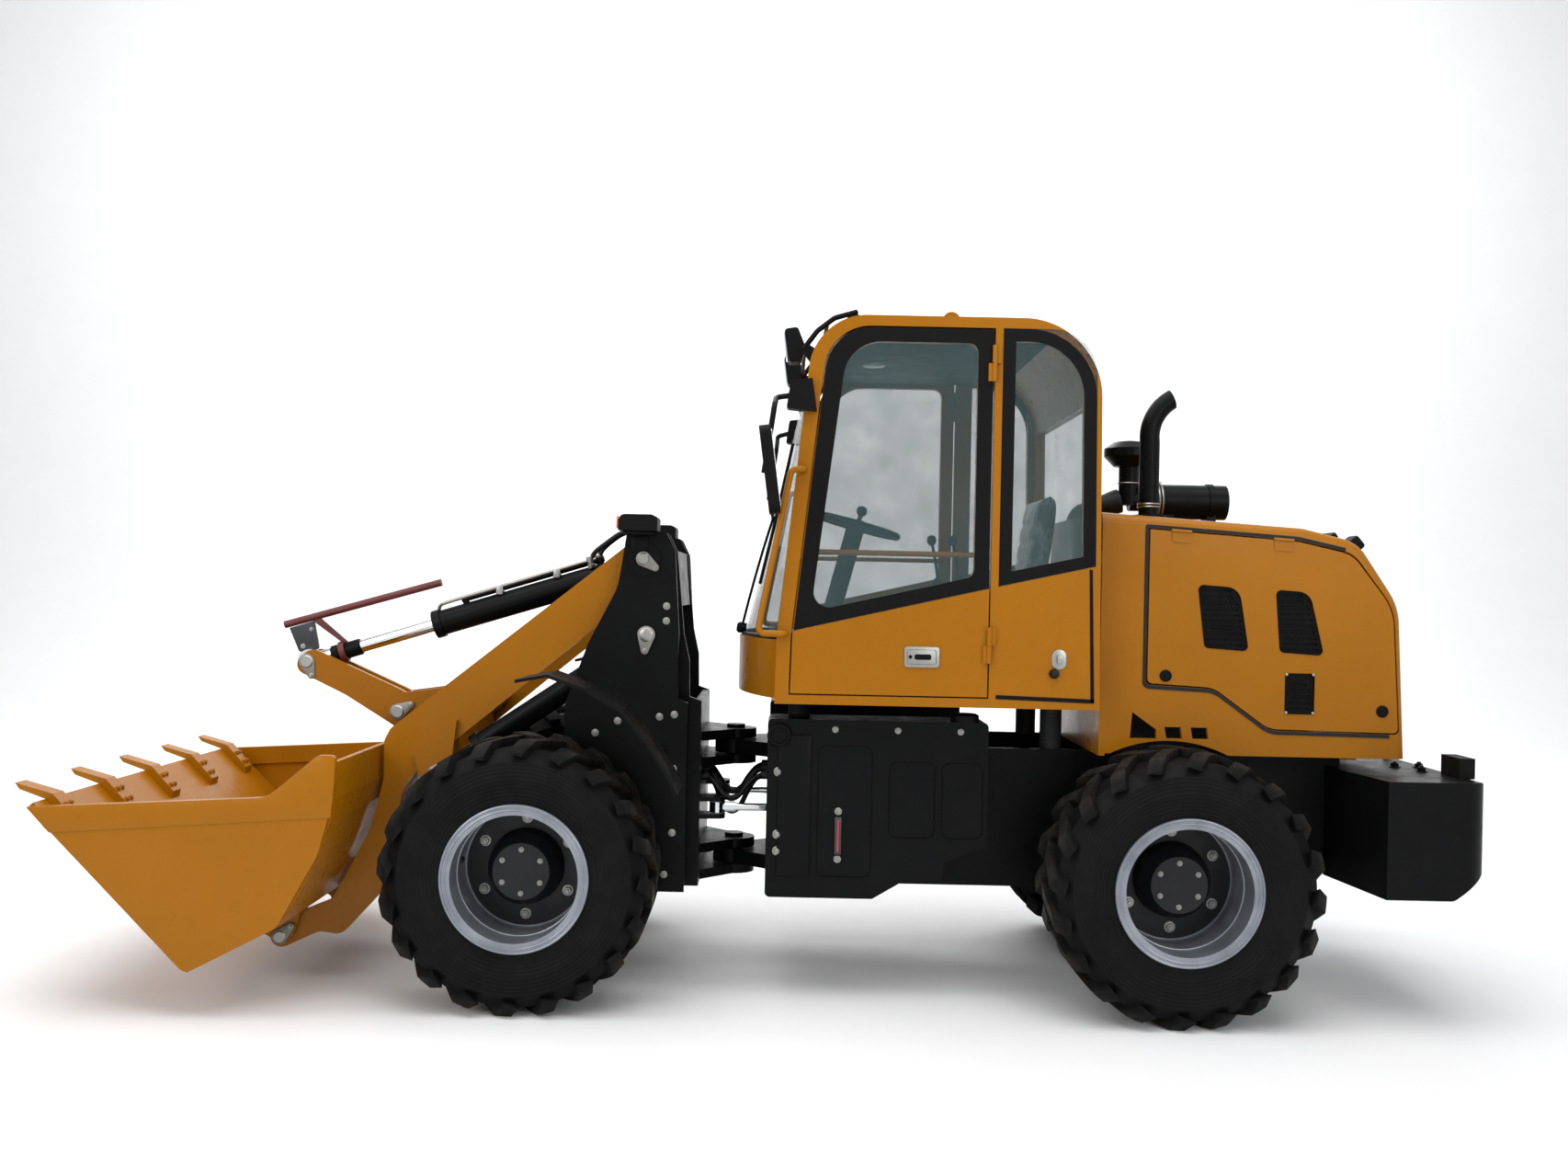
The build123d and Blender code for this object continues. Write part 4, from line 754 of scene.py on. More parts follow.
# %% Door handles, catches and inside bars
BAR_Z = 1.79
BAR_R = 0.011
BAR = [(-0.165, 0.645), (-0.165, 0.632), (-0.20, 0.615), (-0.50, 0.613), (-0.80, 0.615), (-0.845, 0.632),
       (-0.845, 0.645)]
for side, way in SIDES:
    y = way * PANE_Y
    out = (0, way, 0)
    bm = bmesh.new()
    add_plate(bm, rounded_box(-0.698, -0.560, 1.344, 1.426, 0.012), y, y + way * 0.007, 0.002)
    rim = rounded_box(-0.686, -0.572, 1.356, 1.414, 0.008)
    add_plate(bm, rim, y + way * 0.006, y + way * 0.011, 0.002, ring=0.006)
    piece(f"door_handle_{side}", bm, steel, f"door_{side}")
    bm = bmesh.new()
    add_plate(bm, rounded_box(-0.666, -0.600, 1.374, 1.396, 0.008), y + way * 0.005, y + way * 0.009, 0.001)
    keyhole = towards((-0.584, y + way * 0.007, 1.385), out)
    add_turned(bm, [(0.007, 0.0), (0.007, 0.003), (0.005, 0.004)], keyhole, 16)
    piece(f"door_lock_{side}", bm, plastic, f"door_{side}")
    bm = bmesh.new()
    add_plate(bm, rounded_box(-1.196, -1.138, 1.346, 1.426, 0.028), y, y + way * 0.006, 0.002)
    add_block(bm, (-1.167, y + way * 0.016, 1.388), (0.022, 0.022, 0.036), 0.004)
    piece(f"door_catch_{side}", bm, steel, "rear_frame")
    bm = bmesh.new()
    buffer = towards((-1.148, y, 1.330), out)
    add_turned(bm, [(0.019, 0.0), (0.019, 0.016), (0.013, 0.026), (0.004, 0.028)], buffer, 20)
    piece(f"door_buffer_{side}", bm, hose_rubber, "rear_frame")
    bm = bmesh.new()
    add_tube(bm, [(x, way * bar_y, BAR_Z) for x, bar_y in BAR], BAR_R)
    piece(f"door_bar_{side}", bm, yellow, f"door_{side}")

# %% [markdown]
# ## Mirror glasses
# The CAD mirror is a plain housing. A thin rounded sheet with a smooth metal finish lies on
# its rear face and tilts with it, which reflects without a special shader.

# %% Mirror glasses
mirror = surface("mirror_glass", srgb(205, 212, 216), 0.03, metal=1.0, mottle=0.02, relief=0.0)
for side, way in SIDES:
    tilt = Matrix.Rotation(radians(8), 4, "Y")
    bm = bmesh.new()
    add_plate(bm, rounded_box(-0.076, 0.076, -0.152, 0.152, 0.022), 0.0, 0.003, 0.001)
    bm.transform(Matrix.Translation((REAR_X + 1.618, way * 0.840, 2.093)) @ tilt
                 @ Matrix.Translation((-0.0225, 0, 0)) @ Matrix.Rotation(pi / 2, 4, "Z"))
    piece(f"mirror_glass_{side}", bm, mirror, "rear_frame")

# %% [markdown]
# ## Seat film
# The new seat still wears its clear film over dark cloth. A second film mesh would flicker
# against the cloth, so one shader has the weave in its base and the crinkled film in its
# coat, each with a bump of its own, and pale patches on the folds are painted highlights.

# %% Seat film
def film_wrapped(name):
    """Dark seat cloth under a crinkled clear film, with painted highlights on its folds."""
    n = Nodes(name)
    weave = n.noise(900.0, 2.0)
    folds = n.noise(11.0, 6.0, 0.62, (1.0, 2.2, 0.8))
    # Pale patches along the folds are painted highlights of the film, mixed into the cloth colour.
    tint = n.mix(n.ramp(folds, 0.46, 0.62), srgb(58, 62, 64), srgb(150, 158, 160))
    n.set(Base_Color=tint, Roughness=n.ramp(weave, 0.3, 0.7, 0.55, 0.8), Coat_Weight=0.9, Coat_Roughness=0.08,
          Sheen_Weight=0.2, Normal=n.bump(weave, 0.25, 0.0006), Coat_Normal=n.bump(folds, 0.9, 0.02))
    return n.material


seat_film = film_wrapped("wrapped_seat_painted_highlights")


# %% [markdown]
# ## Seat pads
# A stuffed pad is crowned in the middle, pulled in along its sides and drawn down at the
# sewn channels. Cloth simulation could puff it up, but the shape is small and regular, so
# each vertex is moved by a formula that gives the same pad every time.

# %% Seat pads
def add_pad(bm, place, size, crown, seams, cells=28):
    """A stuffed pad: two crowned faces that meet in a soft edge, with sewn channels across it."""
    part = bmesh.new()
    half = [s / 2 for s in size]
    for face in (1, -1):
        rows = []
        for i in range(cells + 1):
            row = []
            for k in range(cells + 1):
                u, v = 2 * i / cells - 1, 2 * k / cells - 1
                pull = 1 - 0.035 * (1 - v * v) if abs(u) > abs(v) else 1 - 0.035 * (1 - u * u)
                edge = (max(0.0, 1 - abs(u) ** 7) ** 0.4) * (max(0.0, 1 - abs(v) ** 7) ** 0.4)
                high = half[2] * edge + crown * (1 - u * u) * (1 - v * v)
                if face > 0:
                    high -= sum(0.009 * 2.718 ** (-((u - s) / 0.05) ** 2) for s in seams) * edge
                row.append(part.verts.new((half[0] * u * pull, half[1] * v * pull, face * high)))
            rows.append(row)
        for i in range(cells):
            for k in range(cells):
                part.faces.new((rows[i][k], rows[i + 1][k], rows[i + 1][k + 1], rows[i][k + 1]))
    bmesh.ops.remove_doubles(part, verts=part.verts, dist=0.0004)
    part.transform(place)
    join(bm, part)


bm = bmesh.new()
lean = Matrix.Translation((REAR_X + 0.668, 0, 1.610)) @ Matrix.Rotation(radians(-3.5), 4, "Y")
add_pad(bm, lean, (0.46, 0.47, 0.085), 0.012, (-0.45, 0.0, 0.45))
seat_pad = piece("seat_cushion", bm, seat_film, "rear_frame", 80.0)
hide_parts("driver_seat")
bm = bmesh.new()
upright = Matrix.Translation((REAR_X + 0.458, 0, 1.860)) @ Matrix.Rotation(radians(82), 4, "Y")
add_pad(bm, upright, (0.40, 0.45, 0.085), 0.012, (-0.4, 0.0, 0.4))
seat_back = piece("seat_backrest", bm, seat_film, "rear_frame", 80.0)

# %% [markdown]
# ## Steering knob, levers and pedals
# A knob on the steering wheel, two levers on a side console and two pedals are seen through
# the glass. They are turned profiles and blocks, since little more than their outline
# shows.

# %% Steering knob, levers and pedals
bm = bmesh.new()
wheel_up = Vector((-0.120, 0, 0.460)).normalized()
knob = Vector((REAR_X + 1.250, 0, 1.900)) + wheel_up * 0.025 + Vector((0, 0.186, 0))
add_turned(bm, [(0.010, 0.0), (0.010, 0.035), (0.020, 0.042), (0.024, 0.058), (0.018, 0.072), (0.006, 0.077)],
           towards(knob, wheel_up), 20)
piece("steering_knob", bm, plastic, "rear_frame")

bm = bmesh.new()
add_block(bm, (REAR_X + 0.80, -0.37, 1.42), (0.30, 0.13, 0.38), 0.015)
add_block(bm, (REAR_X + 0.80, -0.37, 1.625), (0.26, 0.11, 0.03), 0.008)
for x, y in ((0.74, -0.37), (0.84, -0.37)):
    add_turned(bm, [(0.032, 1.638), (0.026, 1.655), (0.028, 1.668), (0.018, 1.690), (0.012, 1.705)],
               Matrix.Translation((REAR_X + x, y, 0)), 18)
    add_tube(bm, [(REAR_X + x, y, 1.69), (REAR_X + x + 0.01, y, 1.78), (REAR_X + x + 0.03, y, 1.86)], 0.007)
    add_turned(bm, [(0.010, -0.02), (0.020, -0.008), (0.023, 0.008), (0.016, 0.024), (0.005, 0.029)],
               Matrix.Translation((REAR_X + x + 0.033, y, 1.875)), 18)
for y in (0.13, -0.13):
    add_block(bm, (REAR_X + 1.30, y, 1.31), (0.012, 0.07, 0.10), 0.004, Matrix.Rotation(radians(-35), 4, "Y"))
    add_tube(bm, [(REAR_X + 1.305, y, 1.31), (REAR_X + 1.34, y, 1.27), (REAR_X + 1.36, y, 1.24)], 0.008)
piece("cab_controls", bm, trim, "rear_frame")

# %% [markdown]
# ## Pin keepers
# Each pin of the linkage is held by a drop-shaped keeper plate with one bolt. The drop is
# drawn as two arcs round the pin and the bolt, and every keeper rides on the body that its
# pin is fixed to.

# %% Pin keepers
PIN = {"boom": front_mm(-423, 1750), "lift": front_mm(-441, 1443), "crank": front_mm(662, 1075),
       "tilt_eye": front_mm(1072, 1281), "bucket": front_mm(1031, 179), "lift_eye": front_mm(417, 860)}


def keeper(bm, pins, spots, place, y, way, radius, angle):
    """A pin's end with its flat keeper plate, which one bolt holds."""
    out = (0, way, 0)
    x, z = place
    pin_end = [(radius * 0.8, -0.004), (radius * 0.8, 0.008), (radius * 0.68, 0.011), (radius * 0.2, 0.011)]
    add_turned(pins, pin_end, towards((x, y, z), out), 28)
    reach = radius + 0.030
    a = radians(angle)
    drop = []
    for i in range(-12, 13):
        b = a + pi + radians(100) * i / 12
        drop.append((x + radius * cos(b), z + radius * sin(b)))
    for i in range(-6, 7):
        b = a + radians(80) * i / 6
        drop.append((x + reach * cos(a) + 0.015 * cos(b), z + reach * sin(a) + 0.015 * sin(b)))
    add_plate(bm, drop, y - way * 0.002, y + way * 0.007, 0.0015)
    spots.append(((x + reach * cos(a), y + way * 0.006, z + reach * sin(a)), out, 0.022))


KEEPERS = [("front_frame", "boom", 0.482, 0.030, 215), ("front_frame", "lift", 0.482, 0.036, 275),
           ("boom", "crank", 0.102, 0.034, 150), ("bellcrank", "tilt_eye", 0.062, 0.034, 250),
           ("bucket", "bucket", 0.450, 0.032, 135), ("boom", "lift_eye", 0.445, 0.028, 140)]
for body, pin_name, y, radius, angle in KEEPERS:
    bm, pins = bmesh.new(), bmesh.new()
    spots = []
    for side, way in SIDES:
        keeper(bm, pins, spots, PIN[pin_name], way * y, way, radius, angle)
    piece(f"keeper_{pin_name}", bm, keeper_zinc, body)
    piece(f"pin_end_{pin_name}", pins, steel, body)
    copies(f"keeper_bolts_{pin_name}", BOLT, spots, steel, body, "silver_paint")

# %% [markdown]
# ## Bolts on the towers and teeth
# Rows of bolts mark where the towers, fenders and teeth are fastened. They stand at places
# measured from the front axle or from the bucket's pin, and Geometry Nodes copies them
# there.

# %% Bolts on the towers and teeth
TOWER_Y = 0.470
TOWER_BOLTS = [(-520, 1560), (-520, 1500), (-560, 1120), (-500, 1110), (-330, 1090), (-240, 1040),
               (-560, 900), (-560, 640), (-530, 470), (-200, 700), (-430, 700)]
spots = []
for side, way in SIDES:
    for x, z in TOWER_BOLTS:
        spots.append(((FRONT_X + x / 1000, way * TOWER_Y, z / 1000), (0, way, 0), 0.030))
copies("tower_bolts", BOLT, spots, steel, "front_frame", "silver_paint")

BUCKET_X, BUCKET_Z = PIN["bucket"]
TOOTH_PITCH = 0.425
lip = Vector((597, 606)).normalized()
rise = Vector((-lip.y, lip.x))
spots = []
for i in range(-2, 3):
    for back in (62, 118):
        spot = Vector((759, 597)) + rise * (20 + 34 - 6 * back / 150 - 1) - lip * back
        for dy in (-0.018, 0.018):
            place = (BUCKET_X + spot.x / 1000, i * TOOTH_PITCH + dy, BUCKET_Z + spot.y / 1000)
            spots.append((place, (rise.x, 0, rise.y), 0.030))
copies("tooth_bolts", BOLT, spots, yellow, "bucket", "yellow_paint")

# %% [markdown]
# ## Side strips of the bucket
# A doubling plate is welded on each side of the bucket behind the cutting edge. It is a
# thin plate with a rounded outline, and its own edge gives the line seen in the photograph.

# %% Side strips of the bucket
STRIP = [(759, 597, 2), (672, 504, 6), (-368, 580, 6), (-378, 700, 30), (-382, 812, 20), (-314, 810, 40),
         (-264, 765, 40), (-130, 650, 120)]
bm = bmesh.new()
for side, way in SIDES:
    outline = rounded([(BUCKET_X + x / 1000, BUCKET_Z + z / 1000, r / 1000) for x, z, r in STRIP])
    add_plate(bm, outline, way * 0.998, way * 1.004, 0.0015)
piece("bucket_side_strips", bm, yellow, "bucket")

# %% [markdown]
# ## Weld beads on the boom
# The cross tube of the boom is welded to its arms and to the ears that carry the bellcrank.
# A bead is a ring of round section, sunk halfway into both parts, and yellow because it is
# sprayed with them.

# %% Weld beads on the boom
bm = bmesh.new()
cross = front_mm(340, 1120)
for y in (-0.3755, 0.3755):
    add_hoop(bm, 0.0705, 0.0055, towards((cross[0], y, cross[1]), (0, 1, 0)), 48)
for y in (-0.0925, -0.0665, 0.0665, 0.0925):
    add_hoop(bm, 0.0702, 0.0045, towards((cross[0], y, cross[1]), (0, 1, 0)), 48)
piece("boom_welds", bm, yellow, "boom")

# %% [markdown]
# ## Headlamps
# Each headlamp has a clear lens and an amber one on a bracket. The lenses are blocks a
# little proud of the housing, so their rims throw a fine shadow.

# %% Headlamps
for side, way in SIDES:
    y = way * 0.4975
    bm = bmesh.new()
    add_block(bm, (FRONT_X - 0.325, y - way * 0.022, 1.894), (0.012, 0.092, 0.050), 0.004)
    piece(f"headlamp_lens_{side}", bm, clear_lens, "front_frame")
    bm = bmesh.new()
    add_block(bm, (FRONT_X - 0.325, y + way * 0.052, 1.894), (0.012, 0.042, 0.050), 0.004)
    piece(f"turn_lens_{side}", bm, amber_lens, "front_frame")
    bm = bmesh.new()
    add_block(bm, (FRONT_X - 0.405, y, 1.854), (0.120, 0.110, 0.016), 0.003)
    add_block(bm, (FRONT_X - 0.405, way * 0.478, 1.815), (0.070, 0.012, 0.080), 0.003)
    piece(f"headlamp_bracket_{side}", bm, black, "front_frame")

# %% [markdown]
# ## Tilt rod's end and indicator bracket
# A black sleeve ends the tilt rod and a bracket holds the sliding level indicator. Both
# ride on the rod. The sleeve stops short of the eye, so it clears the bellcrank when the
# bucket tips.

# %% Tilt rod's end and indicator bracket
bm = bmesh.new()
TILT_DIR = Vector((1.495, 0, -0.469)).normalized()
TILT_EYE = Vector((PIN["tilt_eye"][0], 0, PIN["tilt_eye"][1]))
SLEEVE = [(0.030, 0.0), (0.036, 0.006), (0.036, 0.095), (0.034, 0.100), (0.038, 0.106), (0.038, 0.130),
          (0.030, 0.134)]
SLEEVE_BACK = 0.232      # from the eye to the sleeve's far end
add_turned(bm, SLEEVE, towards(TILT_EYE - TILT_DIR * SLEEVE_BACK, TILT_DIR), 32)
piece("tilt_rod_end", bm, black, "tilt_rod")
bm = bmesh.new()
BRACKET = [(2.082, 1.424, 0.004), (1.975, 1.457, 0.004), (1.950, 1.334, 0.012), (2.036, 1.318, 0.012)]
add_plate(bm, rounded(BRACKET), -0.010, 0.010, 0.002)
piece("indicator_bracket", bm, grey, "tilt_rod")
spots = [((2.020, way * 0.010, 1.345), (0, way, 0), 0.022) for side, way in SIDES]
spots += [((1.985, way * 0.010, 1.420), (0, way, 0), 0.018) for side, way in SIDES]
copies("indicator_bolts", BOLT, spots, steel, "tilt_rod", "silver_paint")

# %% [markdown]
# ## Tilt cylinder hoses
# Two short hoses feed the tilt cylinder, and a steel pipe in clamps carries oil along the
# barrel. Both ends of each hose are on the barrel, so it needs no bending and is a plain
# tube.

# %% Tilt cylinder hoses
TILT_UP = Vector((-TILT_DIR.z, 0, TILT_DIR.x))
TILT_BASE = Vector((PIN["boom"][0], 0, PIN["boom"][1]))


def tilt_point(s, up, y):
    return tuple(TILT_BASE + TILT_DIR * s + TILT_UP * up + Vector((0, y, 0)))


rubber_part, metal_part = bmesh.new(), bmesh.new()
for y, s in ((0.030, 0.265), (-0.030, 0.235)):
    route = [tilt_point(*spot) for spot in (
        (-0.02, 0.050, y * 1.6), (-0.01, 0.125, y * 1.6), (0.08, 0.165, y * 1.3),
        (0.17, 0.135, y), (s - 0.005, 0.100, y), (s, 0.062, y))]
    add_tube(rubber_part, route, 0.011)
    add_fitting(metal_part, route[-1], TILT_UP, 0.011)
    add_fitting(metal_part, route[0], (0, 0, 1), 0.011)
TILT_PIPE = [(0.24, 0.080, 0.030), (0.40, 0.080, 0.032), (0.70, 0.080, 0.032), (0.93, 0.080, 0.030),
             (0.955, 0.074, 0.022), (0.965, 0.056, 0.012)]
add_tube(metal_part, [tilt_point(*spot) for spot in TILT_PIPE], 0.008)
for s in (0.42, 0.68):
    add_block(metal_part, tilt_point(s, 0.066, 0.018), (0.030, 0.050, 0.040), 0.004)
piece("tilt_hoses", rubber_part, hose_rubber, "tilt_barrel")
piece("tilt_pipes", metal_part, steel, "tilt_barrel")

# %% [markdown]
# ## Lift cylinder hoses
# The lift cylinders are fed by pairs of hoses behind the towers. They rise in an S from a
# block on the frame and stay with the frame.

# %% Lift cylinder hoses
rubber_part, metal_part = bmesh.new(), bmesh.new()
for side, way in SIDES:
    for k, (x0, z0) in enumerate(((0.318, 1.04), (0.318, 1.10))):
        y = way * (0.300 - 0.030 * k)
        route = [(x0, y, z0), (x0 + 0.05, y, z0 + 0.01), (x0 + 0.09, y, z0 + 0.10), (x0 + 0.07, y, z0 + 0.24),
                 (x0 + 0.10, y, z0 + 0.33), (x0 + 0.15, way * (0.312 - 0.014 * k), z0 + 0.37)]
        add_tube(rubber_part, route, 0.011)
        add_fitting(metal_part, route[0], (1, 0, 0.1), 0.011)
        add_fitting(metal_part, route[-1], (-0.8, 0, -0.6), 0.011)
piece("lift_hoses", rubber_part, hose_rubber, "front_frame")
piece("lift_hose_ends", metal_part, steel, "front_frame")

# %% [markdown]
# ## Hoses across the steering joint
# Five hoses cross the joint in loops that leave room for steering. A hose that rode on one
# half would tear away from the other, so none rides on a body and each stays where it is
# built.

# %% Hoses across the steering joint
JOINT_HOSES = [(0.19, 0.845, 0.09), (0.12, 0.870, 0.13), (0.05, 0.835, 0.16), (-0.06, 0.865, 0.12),
               (-0.15, 0.840, 0.10)]
JOINT_HOSE_R = 0.012
for i, (y, z, drop) in enumerate(JOINT_HOSES):
    bm = bmesh.new()
    route = [(-0.040, y, z), (0.005, y + 0.004, z), (0.050, y + 0.035, z - drop * 0.35),
             (0.095, y + 0.050, z - drop), (0.150, y + 0.050, z - drop),
             (0.195, y + 0.030, z - drop * 0.3), (0.225, y, z - 0.01), (0.255, y, z - 0.01)]
    add_tube(bm, route, JOINT_HOSE_R)
    add_fitting(bm, route[0], (1, 0, 0), JOINT_HOSE_R)
    add_fitting(bm, route[-1], (-1, 0, 0), JOINT_HOSE_R)
    hose = dressed(f"joint_hose_{i + 1}", bm, hose_rubber, 180.0)
    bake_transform(hose)
    print(f"{hose.name}: {len(hose.data.polygons)} faces, bends with the joint")

# %% [markdown]
# ## Perforated grilles
# Perforated sheet closes the windows of the hood doors. An alpha pattern would have no
# depth, so cells with real holes fill each window, with a frame round them and a dark sheet
# behind, which is painted shade for the shaded inside of the hood.

# %% Perforated grilles
def inside(point, polygon):
    """True if a side-view point lies in a polygon."""
    x, z = point
    hit = False
    for (x0, z0), (x1, z1) in zip(polygon, polygon[1:] + polygon[:1]):
        if (z0 > z) != (z1 > z) and x < (x1 - x0) * (z - z0) / (z1 - z0) + x0:
            hit = not hit
    return hit


HOOD_Y = 0.560
GRILLES = [[(-102, 1693, 20), (-268, 1682, 60), (-310, 1429, 20), (-133, 1440, 20)],
           [(-415, 1678, 20), (-551, 1670, 60), (-612, 1417, 20), (-435, 1428, 20)]]
VENT = [(-459, 1345, 10), (-576, 1345, 10), (-576, 1182, 10), (-459, 1182, 10)]
PITCH = 0.0125
for side, way in SIDES:
    spots = []
    bm = bmesh.new()
    for window in GRILLES + [VENT]:
        shape = rounded(rear_mm(window))
        xs, zs = [p[0] for p in shape], [p[1] for p in shape]
        row = 0
        z = min(zs)
        while z < max(zs):
            x = min(xs) + (PITCH / 2 if row % 2 else 0.0)
            while x < max(xs):
                if inside((x, z), shape):
                    spots.append(((x, way * (HOOD_Y - 0.005), z), (0, way, 0), PITCH))
                x += PITCH
            z += PITCH * 0.866
            row += 1
        add_plate(bm, shape, way * (HOOD_Y - 0.016), way * (HOOD_Y + 0.003), 0.0015, ring=0.010)
    copies(f"grille_sheet_{side}", CELL, spots, plastic, f"hood_door_{side}", "black_plastic")
    # The dark sheet behind the holes is painted shade for the shaded inside of the hood.
    shade_sheet = bmesh.new()
    for window in GRILLES + [VENT]:
        add_plate(shade_sheet, rounded(rear_mm(window)), way * (HOOD_Y - 0.0235), way * (HOOD_Y - 0.0215), 0.0005)
    piece(f"grille_backing_{side}", shade_sheet, trim, f"hood_door_{side}")
    piece(f"grille_frame_{side}", bm, plastic, f"hood_door_{side}")
    corners = [(REAR_X + x, way * (HOOD_Y + 0.003), z) for x in (-0.464, -0.571) for z in (1.187, 1.340)]
    screws = [(c, (0, way, 0), 0.013) for c in corners]
    copies(f"vent_screws_{side}", SCREW, screws, steel, f"hood_door_{side}", "silver_paint")

# %% [markdown]
# ## Hood door seals
# A rubber strip follows the top, front and lower edges of each hood door. It bends round a
# concave corner, which one many-sided face would fill wrongly, so it is built of quads
# between two paths.

# %% Hood door seals
def add_strip(bm, outer, inner, y0, y1):
    """A flat strip between two side-view paths with as many points each."""
    part = bmesh.new()
    rows = [[part.verts.new((x, y, z)) for x, z in path] for path, y in
            ((outer, y0), (outer, y1), (inner, y1), (inner, y0))]
    for a, b in zip(rows, rows[1:] + rows[:1]):
        for i in range(len(a) - 1):
            part.faces.new((a[i], a[i + 1], b[i + 1], b[i]))
    for end in (0, -1):
        part.faces.new([row[end] for row in rows])
    join(bm, part)


SEAL_OUT = [(-690, 1851, 0), (-500, 1892, 150), (112, 1930, 10), (112, 1273, 26), (-173, 1260, 120),
            (-397, 1099, 120), (-880, 1093, 0)]
SEAL_IN = [(-690, 1838, 0), (-500, 1879, 150), (99, 1917, 4), (99, 1287, 20), (-173, 1274, 120),
           (-397, 1113, 120), (-880, 1107, 0)]
outer, inner = rounded(rear_mm(SEAL_OUT), 8), rounded(rear_mm(SEAL_IN), 8)
for side, way in SIDES:
    bm = bmesh.new()
    add_strip(bm, outer, inner, way * (HOOD_Y - 0.004), way * (HOOD_Y + 0.003))
    piece(f"hood_seal_{side}", bm, hose_rubber, "rear_frame")

# %% [markdown]
# ## Hood latches and lamps
# Two turned latches lock each hood door, and small lamps sit on the sloping end of the
# hood. They are short profiles and blocks with soft edges.

# %% Hood latches and lamps
LATCH = [(0.024, -0.002), (0.024, 0.004), (0.019, 0.007), (0.019, 0.004), (0.007, 0.004), (0.006, 0.008)]
for side, way in SIDES:
    bm = bmesh.new()
    for x, z in ((0.02, 1.325), (-0.85, 1.20)):
        add_turned(bm, LATCH, towards((REAR_X + x, way * HOOD_Y, z), (0, way, 0)), 24)
    piece(f"hood_latches_{side}", bm, plastic, f"hood_door_{side}")
bm = bmesh.new()
slope = Matrix.Rotation(radians(40), 4, "Y")
add_block(bm, (REAR_X - 0.790, 0, 1.905), (0.060, 0.30, 0.030), 0.008, slope)
for y in (0.36, -0.36):
    add_block(bm, (REAR_X - 0.800, y, 1.875), (0.050, 0.09, 0.060), 0.012, slope)
piece("hood_rear_lamps", bm, plastic, "rear_frame")

# %% [markdown]
# ## Rear radiator grille
# The radiator blows out through a grille in the back of the hood. It uses the perforated
# cell again at twice the size, with rows that follow the slope of the panel.

# %% Rear radiator grille
spots = []
z = 1.16
row = 0
while z < 1.56:
    y = -0.36 + (PITCH if row % 2 else 0.0)
    x = REAR_X - 0.951 + (z - 1.010) / 0.612 * 0.031
    while y < 0.36:
        spots.append(((x - 0.003, y, z), (-1, 0, 0.05), PITCH * 2))
        y += PITCH * 2
    z += PITCH * 1.732
    row += 1
copies("rear_grille", CELL, spots, plastic, "rear_frame", "black_plastic")

# %% [markdown]
# ## Intake clamps and duct
# Band clamps hold the exhaust and the air cleaner, and a rubber duct leads the air into the
# hood. Clamps are hoops in pairs and the duct is a cone with a bent tube.

# %% Intake clamps and duct
bm = bmesh.new()
add_hoop(bm, 0.044, 0.005, Matrix.Translation((REAR_X + 0.012, 0.200, 2.020)), 40)
add_hoop(bm, 0.044, 0.005, Matrix.Translation((REAR_X + 0.012, 0.200, 2.032)), 40)
add_hoop(bm, 0.047, 0.004, Matrix.Translation((REAR_X + 0.003, -0.200, 2.150)), 40)
for x in (-0.120, -0.135):
    add_hoop(bm, 0.080, 0.005, towards((REAR_X + x, -0.200, 2.070), (1, 0, 0)), 48)
add_block(bm, (REAR_X - 0.1275, -0.200, 2.155), (0.030, 0.030, 0.014), 0.003)
piece("intake_clamps", bm, steel, "rear_frame")
bm = bmesh.new()
add_turned(bm, [(0.055, 0.0), (0.055, 0.02), (0.040, 0.10), (0.036, 0.16)],
           towards((REAR_X + 0.045, -0.200, 2.070), (0.9, 0, -0.25)), 28)
add_tube(bm, [(REAR_X + 0.16, -0.2, 2.042), (REAR_X + 0.22, -0.2, 2.02), (REAR_X + 0.245, -0.2, 1.99),
              (REAR_X + 0.25, -0.2, 1.962)], 0.034)
piece("intake_duct", bm, hose_rubber, "rear_frame")
